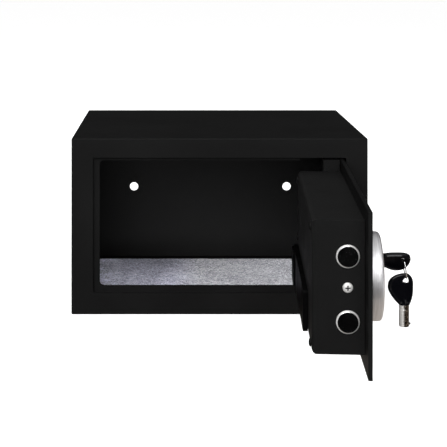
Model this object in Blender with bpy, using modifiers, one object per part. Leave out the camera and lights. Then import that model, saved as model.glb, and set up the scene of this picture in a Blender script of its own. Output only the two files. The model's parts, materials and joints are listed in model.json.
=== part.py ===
"""Compact in-room safe with an electronic lock, shown with its door swung open.

Frame: metres, +Z up, origin at the centre of the body's underside, +X to the
right as seen from the front, +Y towards the back.  Working coordinates are
millimetres in the closed-door position, with y counted from the front plane
of the body (positive = towards the back).  Everything that rides on the door
hangs from the empty "door_hinge", which holds the open angle.

Helpers for boolean steps are named "cut_..." (removed) or "tool_..." (added).
Cutters run a few millimetres past the faces they cut, and added shapes bite
into the piece that carries them.
"""

import math

import bmesh
import bpy
from mathutils import Matrix, Vector

MM = 0.001
X, Y, Z = 0, 1, 2                           # axis numbers
GAP = 0.3                                   # assembly gap between separate pieces

# Suffixes: _L left, _R right (or radius), _B bottom, _T top, _TH thickness,
# _X, _Y, _Z places on an axis.

# ---------------------------------------------------------------- body
BODY_W, BODY_D, BODY_H = 340.0, 245.0, 202.0
SHEET = 2.0
OPEN_L, OPEN_R, OPEN_B, OPEN_T = -145.0, 145.0, 25.0, 179.5
OPEN_CORNER_R = 1.5

# ---------------------------------------------------------------- hinge
HINGE_X, HINGE_Y = 134.0, 9.0
OPEN_ANGLE = math.radians(86.7)
PIN_R = 4.0

# ---------------------------------------------------------------- door
DOOR_L, DOOR_R, DOOR_B, DOOR_T, DOOR_TH = -144.0, 143.7, 26.0, 178.0, 4.0
SEAT_Y = DOOR_TH + GAP                      # where pieces sit behind the door plate
BOX_L, BOX_R, BOX_B, BOX_T, BOX_Y = -120.0, 120.0, 41.0, 165.0, 53.0
BOX_TH = 1.5
BOX_IN_L = BOX_L + BOX_TH + GAP             # where pieces sit inside its left wall
SCREW_R = 2.0
SCREW_HOLE_R = SCREW_R + GAP

# ---------------------------------------------------------------- bolts and rack
BOLT_R, BOLT_TIP, BOLT_Y = 11.0, -123.0, 20.0
BOLT_Z = {"bottom": 71.5, "top": 132.0}
MODULE, TEETH = 1.25, 14
PITCH_R = MODULE * TEETH / 2
DEDENDUM = 1.25 * MODULE
RACK_ROOT_Z, RACK_CLEARANCE = 120.0, 0.4
PINION_X, PINION_Y = 0.0, 20.0
PINION_Z = RACK_ROOT_Z + DEDENDUM + PITCH_R + RACK_CLEARANCE

# ---------------------------------------------------------------- lock, reset, batteries
LOCK_X, LOCK_Z = -76.0, 118.0
LOCK_R = 8.0
WIRE_HOLE_X, WIRE_HOLE_Z = -50.0, 90.0
RESET_X, RESET_Z = 60.0, 122.0
BAY_L, BAY_R, BAY_B, BAY_T = -56.0, 106.0, 48.5, 80.5       # battery opening

# ---------------------------------------------------------------- key grip
BOW_BASE = 14.4                             # from the door front to the grip
KEY_TILT = math.radians(40.0)               # grip from vertical, top away from the hinge
GRIP_UP = Vector((-math.sin(KEY_TILT), 0.0, math.cos(KEY_TILT)))  # grip's short side

# ---------------------------------------------------------------- materials
BLACK = dict(rgb=(0.012, 0.012, 0.012), rough=0.6)
STEEL = dict(rgb=(0.55, 0.55, 0.56), rough=0.35, metal=1.0)
CHROME = dict(rgb=(0.85, 0.85, 0.86), rough=0.08, metal=1.0)
SATIN = dict(rgb=(0.7, 0.7, 0.7), rough=0.3, metal=1.0)
PLASTIC = dict(rgb=(0.01, 0.01, 0.01), rough=0.35)
MAT_GREY = dict(rgb=(0.2, 0.2, 0.22), rough=0.95)
GEAR_WHITE = dict(rgb=(0.8, 0.8, 0.75), rough=0.5)
BOARD_GREEN = dict(rgb=(0.02, 0.12, 0.05), rough=0.5)
RESET_RED = dict(rgb=(0.35, 0.02, 0.02), rough=0.4)
WIRE_BLACK = dict(rgb=(0.03, 0.03, 0.03), rough=0.5)
CELL_GREY = dict(rgb=(0.1, 0.1, 0.12), rough=0.3)
WINDOW_RED = dict(rgb=(0.05, 0.005, 0.005), rough=0.1)
BUTTON_BLACK = dict(rgb=(0.03, 0.03, 0.03), rough=0.45)


def finish(name, rgb, rough, metal=0.0):
    material = bpy.data.materials.new(name)
    material.use_nodes = True
    shader = material.node_tree.nodes["Principled BSDF"]
    shader.inputs["Base Color"].default_value = (*rgb, 1.0)
    shader.inputs["Roughness"].default_value = rough
    shader.inputs["Metallic"].default_value = metal
    material.diffuse_color = (*rgb, 1.0)
    return material


# ---------------------------------------------------------------- scene and frames
for old in list(bpy.data.objects):
    bpy.data.objects.remove(old, do_unlink=True)

PARTS = bpy.data.collections.new("in_room_safe")
TOOLS = bpy.data.collections.new("cutters")
bpy.context.scene.collection.children.link(PARTS)
bpy.context.scene.collection.children.link(TOOLS)


def world(x, y, z):
    """Millimetres from the front plane to a world point in metres."""
    return Vector((x, y - BODY_D / 2, z)) * MM


class Frame:
    """An empty for pieces to hang from.  Their places are closed-door
    millimetres, or the frame's own coordinates if it is local."""

    def __init__(self, name, at, parent=None, rotation=(0.0, 0.0, 0.0), local=False):
        self.at = Vector() if local else Vector(at)
        self.empty = bpy.data.objects.new(name, None)
        self.empty.empty_display_size = 0.01
        PARTS.objects.link(self.empty)
        if parent is None:
            self.empty.location = world(*at)
        else:
            self.empty.parent = parent.empty
            self.empty.location = (Vector(at) - parent.at) * MM
        self.empty.rotation_euler = rotation


DOOR = Frame("door_hinge", (HINGE_X, HINGE_Y, 0.0), rotation=(0.0, 0.0, OPEN_ANGLE))
BOLTS = Frame("bolt_slide", (BOLT_TIP, BOLT_Y, sum(BOLT_Z.values()) / 2), DOOR)
PINION = Frame("pinion_axis", (PINION_X, PINION_Y, PINION_Z), DOOR)
LOCK = Frame("lock_axis", (LOCK_X, 0.0, LOCK_Z), DOOR)


# ---------------------------------------------------------------- shape makers
def mesh_of(name, shape):
    mesh = bpy.data.meshes.new(name)
    shape.to_mesh(mesh)
    shape.free()
    return mesh


def place(name, mesh, origin, frame=None, look=BLACK, smooth=None):
    """An object at origin (mm); smooth is the sharp-edge angle in degrees."""
    piece = bpy.data.objects.new(name, mesh)
    helper = name.startswith(("cut_", "tool_"))
    (TOOLS if helper else PARTS).objects.link(piece)
    if frame is None:
        piece.location = world(*origin)
    else:
        piece.parent = frame.empty
        piece.location = (Vector(origin) - frame.at) * MM
    if helper:
        piece.hide_render = True
        piece.display_type = "WIRE"
        return piece
    mesh.materials.append(finish(name, **look))
    if smooth is not None:
        mesh.shade_smooth()
        mesh.set_sharp_from_angle(angle=math.radians(smooth))
    return piece


def put(name, shape, origin, frame, look, smooth):
    """Place a shape whose points are millimetres about origin."""
    bmesh.ops.scale(shape, vec=(MM, MM, MM), verts=shape.verts)
    return place(name, mesh_of(name, shape), origin, frame, look, smooth)


def along(axis):
    """Edge picker: the edges that run along one axis."""
    def pick(edge):
        run = edge.verts[1].co - edge.verts[0].co
        return abs(run[axis]) > 0.99 * run.length
    return pick


def facing(x=0, y=0):
    """Edge picker: the edges on the side given by the signs of x and y."""
    def pick(edge):
        return all(v.co.x * x >= 0 and v.co.y * y >= 0 for v in edge.verts)
    return pick


def box(name, corner, opposite, frame=None, look=BLACK, smooth=None,
        rounded=None, radius=0.0, segments=2):
    """A box between two opposite corners; rounded(edge) picks edges to round."""
    low = Vector(tuple(map(min, corner, opposite)))
    high = Vector(tuple(map(max, corner, opposite)))
    shape = bmesh.new()
    bmesh.ops.create_cube(shape, size=1.0)
    bmesh.ops.scale(shape, vec=high - low, verts=shape.verts)
    if rounded:
        edges = [edge for edge in shape.edges if rounded(edge)]
        bmesh.ops.bevel(shape, geom=edges, offset=radius, segments=segments,
                        profile=0.5, affect="EDGES")
    return put(name, shape, (low + high) / 2, frame, look, smooth)


def rod(name, axis, at, radius, start, end, frame=None, look=BLACK, sides=32, smooth=40.0):
    """A cylinder from start to end along an axis, through the point at."""
    start, end = sorted((start, end))
    shape = bmesh.new()
    bmesh.ops.create_cone(shape, cap_ends=True, segments=sides, radius1=radius,
                          radius2=radius, depth=end - start)
    turn = {X: Matrix.Rotation(math.pi / 2, 4, "Y"),
            Y: Matrix.Rotation(-math.pi / 2, 4, "X"),
            Z: Matrix.Identity(4)}[axis]
    bmesh.ops.transform(shape, matrix=turn, verts=shape.verts)
    middle = list(at)
    middle[axis] = (start + end) / 2
    return put(name, shape, middle, frame, look, smooth)


# Which way the first end of a turned profile faces, as a rotation.
TO_FRONT = (math.pi / 2, 0.0, 0.0)
TO_BACK = (-math.pi / 2, 0.0, 0.0)
TO_LEFT = (0.0, -math.pi / 2, 0.0)


def turned(name, profile, at, frame, look, steps=40, closed=False, faces=TO_FRONT):
    """A shape turned about its axis.  profile is (radius, distance from at) in
    mm, away from the end that faces out; closed makes a ring off the axis."""
    shape = bmesh.new()
    points = [shape.verts.new((radius * MM, 0.0, -depth * MM)) for radius, depth in profile]
    following = points[1:] + (points[:1] if closed else [])
    for pair in zip(points, following):
        shape.edges.new(pair)
    piece = place(name, mesh_of(name, shape), at, frame, look)
    piece.rotation_euler = faces
    screw = piece.modifiers.new("turn", "SCREW")
    screw.axis = "Z"
    screw.angle = 2 * math.pi
    screw.steps = screw.render_steps = steps
    screw.use_merge_vertices = True
    screw.merge_threshold = 1e-6
    screw.use_smooth_shade = False
    # a negative volume means the faces point inwards
    bpy.context.view_layer.update()
    probe = bmesh.new()
    probe.from_object(piece, bpy.context.evaluated_depsgraph_get())
    if probe.calc_volume(signed=True) < 0:
        screw.use_normal_flip = True
    probe.free()
    return piece


def curve_shape(curve, points, cyclic=False):
    """The curve along points (mm) as a merged shape in metres."""
    line = curve.splines.new("POLY")
    line.points.add(len(points) - 1)
    for spot, (x, y, z) in zip(line.points, points):
        spot.co = (x * MM, y * MM, z * MM, 1.0)
    line.use_cyclic_u = cyclic
    holder = bpy.data.objects.new("curve_holder", curve)
    TOOLS.objects.link(holder)
    bpy.context.view_layer.update()
    mesh = bpy.data.meshes.new_from_object(
        holder.evaluated_get(bpy.context.evaluated_depsgraph_get()))
    bpy.data.objects.remove(holder, do_unlink=True)
    shape = bmesh.new()
    shape.from_mesh(mesh)
    bpy.data.meshes.remove(mesh)
    bmesh.ops.remove_doubles(shape, verts=shape.verts, dist=1e-7)
    return shape


def outline(name, points, front, back, origin, frame, look=BLACK):
    """A flat outline in x and z, given thickness from front to back in y."""
    curve = bpy.data.curves.new(name, "CURVE")
    curve.dimensions = "2D"
    curve.fill_mode = "BOTH"
    curve.extrude = (back - front) / 2 * MM
    shape = curve_shape(curve, [(x, z, 0.0) for x, z in points], cyclic=True)
    # the curve's XY plane becomes the object's XZ plane
    bmesh.ops.transform(shape, matrix=Matrix.Rotation(math.pi / 2, 4, "X"), verts=shape.verts)
    bmesh.ops.translate(shape, vec=(0.0, (front + back) / 2 * MM, 0.0), verts=shape.verts)
    bmesh.ops.recalc_face_normals(shape, faces=shape.faces)
    return place(name, mesh_of(name, shape), origin, frame, look)


def boolean(piece, kind, others):
    for other in others:
        step = piece.modifiers.new(other.name, "BOOLEAN")
        step.operation = kind
        step.solver = "EXACT"
        step.object = other


def cut(piece, *others):
    boolean(piece, "DIFFERENCE", others)


def join(piece, *others):
    boolean(piece, "UNION", others)


# ================================================================ body
STOP_L, STOP_B, STOP_T = -137.7, 32.3, 175.7    # inner edge of the door stop
STOP_END = 93.0                             # stop is cut away on the hinge side
STOP_Y0, STOP_Y1 = 5.0, 7.0
STOP_LAP, SPACER_LAP, SPACER_INSET = 5.0, 2.5, 0.5      # beyond the opening's edge
ANCHOR_MID, ANCHOR_SPREAD, ANCHOR_Z, ANCHOR_R = -3.0, 104.4, 97.8, 5.7
MAT_TH, MAT_BACK = 2.0, 225.0
# heights from the middle of the opening, and sizes, of the hinge brackets
LUG_IN, LUG_TH, FOOT_OUT, FOOT_TH, PIN_TIP = 78.25, 2.0, 94.0, 1.5, 68.0
LUG_L, LUG_R, LUG_BACK, FOOT_LAP = 122.0, 148.0, 25.0, 0.5
PIN_HEAD_R, PIN_HEAD_TH = PIN_R + 0.9, 2.0


def build_shell():
    long_edge, front_edge = along(Y), facing(y=-1)
    shell = box("body_shell", (-BODY_W / 2, 0, 0), (BODY_W / 2, BODY_D, BODY_H),
                rounded=lambda edge: front_edge(edge) or long_edge(edge), radius=1.2)
    cut(shell,
        box("cut_body_inside", (-BODY_W / 2 + SHEET, SHEET, SHEET),
            (BODY_W / 2 - SHEET, BODY_D + 5, BODY_H - SHEET)),
        box("cut_body_opening", (OPEN_L, -5, OPEN_B), (OPEN_R, SHEET + 5, OPEN_T),
            rounded=along(Y), radius=OPEN_CORNER_R))


def build_back_panel():
    half_width = BODY_W / 2 - SHEET - GAP
    back = box("back_panel", (-half_width, BODY_D - SHEET, SHEET + GAP),
               (half_width, BODY_D, BODY_H - SHEET - GAP))
    for side, x in (("left", ANCHOR_MID - ANCHOR_SPREAD), ("right", ANCHOR_MID + ANCHOR_SPREAD)):
        cut(back, rod("cut_anchor_" + side, Y, (x, 0, ANCHOR_Z), ANCHOR_R,
                      BODY_D - 8, BODY_D + 5))


def build_door_stop():
    """Left, top and bottom arms behind the opening, with a spacer wall that
    carries them off the back of the front sheet."""
    stop = box("door_stop_frame", (OPEN_L - STOP_LAP, STOP_Y0, OPEN_B - STOP_LAP),
               (STOP_END, STOP_Y1, OPEN_T + STOP_LAP))
    spacer = box("tool_stop_spacer", (OPEN_L - SPACER_LAP, SHEET + GAP, OPEN_B - SPACER_LAP),
                 (STOP_END - 4, STOP_Y0 + 1, OPEN_T + SPACER_LAP))
    cut(spacer, box("cut_stop_spacer", (OPEN_L - SPACER_INSET, -5, OPEN_B - SPACER_INSET),
                    (STOP_END + 20, STOP_Y1 + 3, OPEN_T + SPACER_INSET),
                    rounded=along(Y), radius=OPEN_CORNER_R))
    join(stop, spacer)
    cut(stop, box("cut_stop_inside", (STOP_L, -5, STOP_B),
                  (STOP_END + 40, STOP_Y1 + 8, STOP_T),
                  rounded=along(Y), radius=5.0, segments=4))


def build_floor_mat():
    half_width = BODY_W / 2 - SHEET - 1.0
    box("floor_mat", (-half_width, SHEET + 1, SHEET + GAP),
        (half_width, MAT_BACK, SHEET + GAP + MAT_TH), look=MAT_GREY)


def build_hinge_mount(end, side):
    """A bracket with a foot against the front sheet and a lug, and the pin that
    the lug holds; side is +1 for the top one and -1 for the bottom one."""
    middle = (OPEN_B + OPEN_T) / 2
    lug_in = middle + side * LUG_IN
    lug_out = lug_in + side * LUG_TH
    front = SHEET + GAP
    axis_at = (HINGE_X, HINGE_Y, 0)
    bracket = box("hinge_bracket_" + end, (LUG_L, front, lug_in), (LUG_R, LUG_BACK, lug_out))
    join(bracket, box("tool_bracket_foot_" + end, (LUG_L - FOOT_LAP, front, lug_in),
                      (LUG_R + FOOT_LAP, front + FOOT_TH, middle + side * FOOT_OUT)))
    cut(bracket, rod("cut_bracket_" + end, Z, axis_at, PIN_R + GAP,
                     lug_in - side * 3, lug_out + side * 3))
    head = lug_out + side * GAP
    pin = rod("hinge_pin_" + end, Z, axis_at, PIN_R, middle + side * PIN_TIP, head + side,
              look=STEEL)
    join(pin, rod("tool_pin_head_" + end, Z, axis_at, PIN_HEAD_R, head,
                  head + side * PIN_HEAD_TH))


# ================================================================ door
POSTS = ((-110.0, 48.5), (-110.0, 157.0), (110.0, 92.0), (110.0, 157.0))    # x, z
POST_R = 3.5
SIDE_SCREW_Z = 103.0
TAB_TH, TAB_BACK, TAB_HALF = 3.0, 26.0, 7.0
WIRE_HOLE_R = 4.0
RESET_HOLE_R = 3.3
CHANNEL_L, CHANNEL_R, CHANNEL_BACK, CHANNEL_B, CHANNEL_T = 122.0, 141.0, 24.0, 26.5, 177.5
CHANNEL_TH, CHANNEL_END_TH = 1.6, 2.0
SCREW_HEAD = 2.0                            # height of a screw head

# screw profiles: radius, distance from the top of the head
COVER_SCREW = ((0, 0), (2.6, 0.3), (3.8, 1.2), (4.0, SCREW_HEAD), (SCREW_R, SCREW_HEAD),
               (SCREW_R, 13.0), (0, 14.0))
SIDE_SCREW = ((0, 0), (2.6, 0.25), (4.2, 1.1), (4.8, SCREW_HEAD), (SCREW_R, SCREW_HEAD),
              (SCREW_R, 11.5), (0, 12.5))
# the two bars of a cross recess: name, half length one way, half length the other
COVER_CROSS = (("a", 1.9, 0.4), ("b", 0.4, 1.9))
SIDE_CROSS = (("a", 2.7, 0.55), ("b", 0.55, 2.7))


def build_door_plate():
    """The plate, with posts for the cover's screws and a tab for its side screw."""
    plate = box("door_plate", (DOOR_L, 0, DOOR_B), (DOOR_R, DOOR_TH, DOOR_T), DOOR,
                rounded=facing(x=1, y=-1), radius=2.0, segments=1)
    for i, (x, z) in enumerate(POSTS, 1):
        join(plate, rod("tool_post_%d" % i, Y, (x, 0, z), POST_R, DOOR_TH - 1,
                        BOX_Y - BOX_TH - 0.8, DOOR, sides=16))
        cut(plate, rod("cut_post_%d" % i, Y, (x, 0, z), SCREW_HOLE_R, BOX_Y - 15, BOX_Y,
                       DOOR, sides=16))
    join(plate, box("tool_side_tab", (BOX_IN_L, DOOR_TH - 1, SIDE_SCREW_Z - TAB_HALF),
                    (BOX_IN_L + TAB_TH, TAB_BACK, SIDE_SCREW_Z + TAB_HALF), DOOR))
    cut(plate,
        rod("cut_side_tab", X, (0, BOLT_Y, SIDE_SCREW_Z), SCREW_HOLE_R, BOX_L - 3,
            BOX_L + 10, DOOR, sides=16),
        rod("cut_plate_lock", Y, (LOCK_X, 0, LOCK_Z), LOCK_R + GAP, -3, 9, DOOR),
        rod("cut_plate_wires", Y, (WIRE_HOLE_X, 0, WIRE_HOLE_Z), WIRE_HOLE_R, -3, 9,
            DOOR, sides=20))


def build_hinge_channel():
    """A shallow pan open towards the plate, with pin holes in its ends."""
    channel = box("hinge_channel", (CHANNEL_L, SEAT_Y, CHANNEL_B),
                  (CHANNEL_R, CHANNEL_BACK, CHANNEL_T), DOOR, rounded=along(Z), radius=1.0)
    cut(channel,
        box("cut_channel", (CHANNEL_L + CHANNEL_TH, DOOR_TH - 2, CHANNEL_B + CHANNEL_END_TH),
            (CHANNEL_R - CHANNEL_TH, CHANNEL_BACK - CHANNEL_TH, CHANNEL_T - CHANNEL_END_TH),
            DOOR),
        rod("cut_channel_pin", Z, (HINGE_X, HINGE_Y, 0), PIN_R + GAP, 10, 195, DOOR))


def build_lock_box_cover():
    """A deep pan open towards the plate, rounded around its back face."""
    cover = box("lock_box_cover", (BOX_L, SEAT_Y, BOX_B), (BOX_R, BOX_Y, BOX_T), DOOR,
                rounded=facing(y=1), radius=4.5, segments=5, smooth=30.0)
    cut(cover,
        box("cut_cover", (BOX_L + BOX_TH, DOOR_TH - 3, BOX_B + BOX_TH),
            (BOX_R - BOX_TH, BOX_Y - BOX_TH, BOX_T - BOX_TH), DOOR,
            rounded=facing(y=1), radius=3.0, segments=4),
        box("cut_cover_battery", (BAY_L, BOX_Y - 8, BAY_B), (BAY_R, BOX_Y + 5, BAY_T),
            DOOR, rounded=along(Y), radius=2.0),
        rod("cut_cover_side", X, (0, BOLT_Y, SIDE_SCREW_Z), SCREW_HOLE_R, BOX_L - 3,
            BOX_L + 4, DOOR, sides=16),
        rod("cut_cover_reset", Y, (RESET_X, 0, RESET_Z), RESET_HOLE_R, BOX_Y - 8,
            BOX_Y + 5, DOOR, sides=20))
    for end, z in BOLT_Z.items():
        cut(cover, rod("cut_cover_bolt_" + end, X, (0, BOLT_Y, z), BOLT_R + 0.4,
                       BOX_L - 5, BOX_L + 5, DOOR, sides=40))
    for i, (x, z) in enumerate(POSTS, 1):
        cut(cover, rod("cut_cover_screw_%d" % i, Y, (x, 0, z), SCREW_HOLE_R, BOX_Y - 5,
                       BOX_Y + 3, DOOR, sides=16))


def build_cover_screws():
    seat = BOX_Y + GAP
    for i, (x, z) in enumerate(POSTS, 1):
        screw = turned("cover_screw_%d" % i, COVER_SCREW, (x, seat + SCREW_HEAD, z), DOOR,
                       BLACK, steps=20, faces=TO_BACK)
        for bar, half_x, half_z in COVER_CROSS:
            cut(screw, box("cut_screw_%d%s" % (i, bar), (x - half_x, seat + 0.9, z - half_z),
                           (x + half_x, seat + 4, z + half_z), DOOR))


def build_side_screw():
    screw = turned("cover_side_screw", SIDE_SCREW,
                   (BOX_L - GAP - SCREW_HEAD, BOLT_Y, SIDE_SCREW_Z), DOOR, STEEL,
                   steps=28, faces=TO_LEFT)
    for bar, half_y, half_z in SIDE_CROSS:
        cut(screw, box("cut_side_screw_" + bar,
                       (BOX_L - 6, BOLT_Y - half_y, SIDE_SCREW_Z - half_z),
                       (BOX_L - GAP - 0.8, BOLT_Y + half_y, SIDE_SCREW_Z + half_z), DOOR))


# ================================================================ bolt work
CARRIAGE_Y0, CARRIAGE_Y1 = 31.5, 33.5
EAR_L, EAR_R, EAR_FRONT = -62.0, -59.0, 12.0
# pieces joined to the carriage plate: name, corner, opposite corner
CARRIAGE_PARTS = (
    ("bar", (EAR_L, CARRIAGE_Y0, 60), (-40, CARRIAGE_Y1, 144)),
    ("ear_low", (EAR_L, EAR_FRONT, 60), (EAR_R, CARRIAGE_Y0 + 1, 83)),
    ("ear_high", (EAR_L, EAR_FRONT, 121), (EAR_R, CARRIAGE_Y0 + 1, 144)),
    ("lug", (-49.5, 8.6, 111), (-46.5, CARRIAGE_Y0 + 1, 124.5)),
)
BOLT_LEN = EAR_L - GAP - BOLT_TIP
BOLT_CHAMFER, SPIGOT_R, SPIGOT_LEN = 1.8, 4.0, 6.3
BUSH_WALL, BUSH_END = 2.6, BOX_L + 14
RACK_FIRST, RACK_TEETH = -2, 11             # first tooth, in pitches from the pinion
STUD_Z, STUDS_X = 107.0, (-25.0, 8.0)
STUD_R, STUD_NECK_R, STUD_HEAD, STUD_PLAY = 4.5, 2.5, 2.0, 0.5
SLOT_HALF, STROKE = 2.9, 20.0

MOTOR_HALF_W, MOTOR_FRONT, MOTOR_BACK, MOTOR_B, MOTOR_T = 13.0, 7.0, 26.0, 119.0, 160.0
CAN_Y, CAN_Z, CAN_R = 16.5, 147.0, 9.0
SHAFT_R = 2.0
MOUNT_L, MOUNT_R, MOUNT_B, MOUNT_BACK, MOUNT_TH = -34.0, -14.6, 120.0, 27.8, 1.5
GEAR_FRONT, GEAR_BACK = 29.5, 36.0


def build_bolt(end, z):
    """A bolt from its chamfered tip back to the spigot in the ear, and its bush."""
    turned("locking_bolt_" + end,
           [(0, 0), (BOLT_R - BOLT_CHAMFER, 0), (BOLT_R, BOLT_CHAMFER), (BOLT_R, BOLT_LEN),
            (SPIGOT_R, BOLT_LEN), (SPIGOT_R, BOLT_LEN + SPIGOT_LEN), (0, BOLT_LEN + SPIGOT_LEN)],
           (BOLT_TIP, BOLT_Y, z), BOLTS, CHROME, faces=TO_LEFT)
    bush = rod("bolt_bush_" + end, X, (0, BOLT_Y, z), BOLT_R + BUSH_WALL, BOX_IN_L, BUSH_END,
               DOOR, PLASTIC, sides=40)
    cut(bush, rod("cut_bush_" + end, X, (0, BOLT_Y, z), BOLT_R + GAP, BOX_L - 5,
                  BOX_L + 25, DOOR, sides=40))


def build_carriage():
    """The sliding plate: rack on its top edge, ears for the bolts, two slots."""
    plate = box("bolt_carriage", (-40.5, CARRIAGE_Y0, 92), (36, CARRIAGE_Y1, RACK_ROOT_Z),
                BOLTS, STEEL)
    for name, corner, opposite in CARRIAGE_PARTS:
        join(plate, box("tool_carriage_" + name, corner, opposite, BOLTS))

    pitch = math.pi * MODULE
    half_root, half_tip, tooth_height = 0.30 * pitch, 0.12 * pitch, 2.1 * MODULE
    tooth = [(-half_root, -1.0), (half_root, -1.0), (half_root, 0.0),
             (half_tip, tooth_height), (-half_tip, tooth_height), (-half_root, 0.0)]
    for i in range(RACK_TEETH):
        x = PINION_X + (RACK_FIRST + i) * pitch
        join(plate, outline("tool_rack_tooth_%02d" % i, tooth, CARRIAGE_Y0, CARRIAGE_Y1,
                            (x, 0, RACK_ROOT_Z), BOLTS))
    for i, x in enumerate(STUDS_X, 1):
        cut(plate, box("cut_slot_%d" % i, (x - SLOT_HALF, CARRIAGE_Y0 - 3, STUD_Z - SLOT_HALF),
                       (x + STROKE + SLOT_HALF, CARRIAGE_Y1 + 3, STUD_Z + SLOT_HALF), BOLTS,
                       rounded=along(Y), radius=2.8, segments=4))
    for end, z in BOLT_Z.items():
        cut(plate, rod("cut_ear_" + end, X, (0, BOLT_Y, z), SPIGOT_R + GAP, EAR_L - 4,
                       EAR_R + 3, BOLTS, sides=24))


def build_guide_studs():
    """Fixed studs whose necks run in the carriage's slots."""
    neck_front, neck_back = CARRIAGE_Y0 - STUD_PLAY, CARRIAGE_Y1 + STUD_PLAY
    back = neck_back + STUD_HEAD
    profile = [(0, SEAT_Y), (STUD_R, SEAT_Y), (STUD_R, neck_front), (STUD_NECK_R, neck_front),
               (STUD_NECK_R, neck_back), (STUD_R, neck_back), (STUD_R, back), (0, back)]
    for i, x in enumerate(STUDS_X, 1):
        turned("guide_stud_%d" % i, profile, (x, 0, STUD_Z), DOOR, STEEL, steps=24)


def build_motor():
    shaft_at = (PINION_X, 0, PINION_Z)
    motor = box("gearmotor", (-MOTOR_HALF_W, MOTOR_FRONT, MOTOR_B),
                (MOTOR_HALF_W, MOTOR_BACK, MOTOR_T), DOOR, STEEL, rounded=along(Y), radius=2.0)
    join(motor, rod("tool_motor_can", X, (0, CAN_Y, CAN_Z), CAN_R, 11, 40, DOOR, sides=28))
    cut(motor, rod("cut_motor_shaft", Y, shaft_at, SHAFT_R + GAP, 19, 30, DOOR, sides=20))

    # bracket: a foot on the door plate, a leg, and a face behind the motor
    bracket = box("motor_bracket", (MOUNT_L, SEAT_Y, MOUNT_B),
                  (MOUNT_R, SEAT_Y + MOUNT_TH, MOTOR_T), DOOR, STEEL)
    join(bracket,
         box("tool_motor_leg", (MOUNT_R - MOUNT_TH, SEAT_Y, MOUNT_B),
             (MOUNT_R, MOUNT_BACK, MOTOR_T), DOOR),
         box("tool_motor_face", (-16.0, MOUNT_BACK - MOUNT_TH, MOUNT_B + 0.2),
             (MOTOR_HALF_W, MOUNT_BACK, MOTOR_T - 0.2), DOOR))
    cut(bracket, rod("cut_motor_face", Y, shaft_at, 4.5, 24, 30, DOOR, sides=24))


def build_pinion():
    root, tip = PITCH_R - DEDENDUM, PITCH_R + 0.85 * MODULE
    step = 2 * math.pi / TEETH
    points = []
    for i in range(TEETH):
        middle = -math.pi / 2 + step / 2 + i * step
        for radius, share in ((root, -0.33), (tip, -0.12), (tip, 0.12), (root, 0.33)):
            angle = middle + share * step
            points.append((radius * math.cos(angle), radius * math.sin(angle)))
    gear = outline("drive_pinion", points, GEAR_FRONT - PINION_Y, GEAR_BACK - PINION_Y,
                   (PINION_X, PINION_Y, PINION_Z), PINION, GEAR_WHITE)
    join(gear, rod("tool_pinion_shaft", Y, (PINION_X, 0, PINION_Z), SHAFT_R, 20.5, 38,
                   PINION, sides=20))


# ================================================================ electronics
BOARD_L, BOARD_R, BOARD_B, BOARD_T = 46.0, 104.0, 98.0, 158.0
BOARD_FRONT, BOARD_BACK = 12.0, 13.6
STANDOFF_INSET, STANDOFF_R = 3.0, 2.2
# blocks on the board: name, left, right, bottom, top, back
BOARD_PARTS = (
    ("relay", 50, 66, 134, 152, 27),
    ("chip", 72, 84, 132, 144, 16.2),
    ("socket", 48.5, 58, 101, 113, 20),
    ("reset_switch", RESET_X - 3.5, RESET_X + 3.5, RESET_Z - 3.5, RESET_Z + 3.5, 19),
)
# wire centre line (x, y, z): from behind the keypad, through the plate, to the socket
WIRE_PATH = (
    (WIRE_HOLE_X, -7, WIRE_HOLE_Z), (WIRE_HOLE_X, 3, WIRE_HOLE_Z),
    (-49.2, 6.2, 90), (-46, 7.6, 90), (-30, 7.8, 91), (0, 7.8, 93),
    (28, 7.8, 93), (40, 9, 95), (43.2, 13, 99), (43.6, 19, 105),
    (45, 22.0, 107), (48, 23.2, 107), (52, 23.2, 107), (53.4, 22.6, 107),
)
WIRE_R = 1.6

TRAY_WALL, TRAY_FRONT, TRAY_FLOOR = 1.7, 35.0, 36.5
CELL_R, CELL_LEN, CELL_TIP_R, CELL_TIP_LEN = 7.1, 50.0, 2.7, 1.2
CELL_X, CELL_Z = -54.5, 56.9                # left end and axis of the first cell
CELL_STEP_X, CELL_STEP_Z = 53.2, 15.2
CELL_Y = TRAY_FLOOR + 0.4 + CELL_R
LID_L, LID_R, LID_B, LID_T = -66.0, 112.0, 43.2, 84.0
PAD_L, PAD_INSET = 80.0, 1.5
GROOVE_X, GROOVE_STEP = 87.0, 8.0
CLIPS = (("a", -45.0), ("b", 95.0))         # name, x


def build_control_board():
    board = box("control_board", (BOARD_L, BOARD_FRONT, BOARD_B),
                (BOARD_R, BOARD_BACK, BOARD_T), DOOR, BOARD_GREEN)
    for name, left, right, bottom, top, back in BOARD_PARTS:
        join(board, box("tool_" + name, (left, 13, bottom), (right, back, top), DOOR))
    corners = [(x, z) for z in (BOARD_B + STANDOFF_INSET, BOARD_T - STANDOFF_INSET)
               for x in (BOARD_L + STANDOFF_INSET, BOARD_R - STANDOFF_INSET)]
    for i, (x, z) in enumerate(corners, 1):
        join(board, rod("tool_standoff_%d" % i, Y, (x, 0, z), STANDOFF_R, SEAT_Y, 12.5,
                        DOOR, sides=12))


def build_reset_button():
    at = (RESET_X, 0, RESET_Z)
    reset = rod("reset_button", Y, at, 3.0, 46.5, 52.7, DOOR, RESET_RED, sides=20)
    join(reset,
         rod("tool_reset_collar", Y, at, 4.2, 45, 50.9, DOOR, sides=20),
         rod("tool_reset_stem", Y, at, 1.6, 20.6, 46, DOOR, sides=12))


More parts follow.
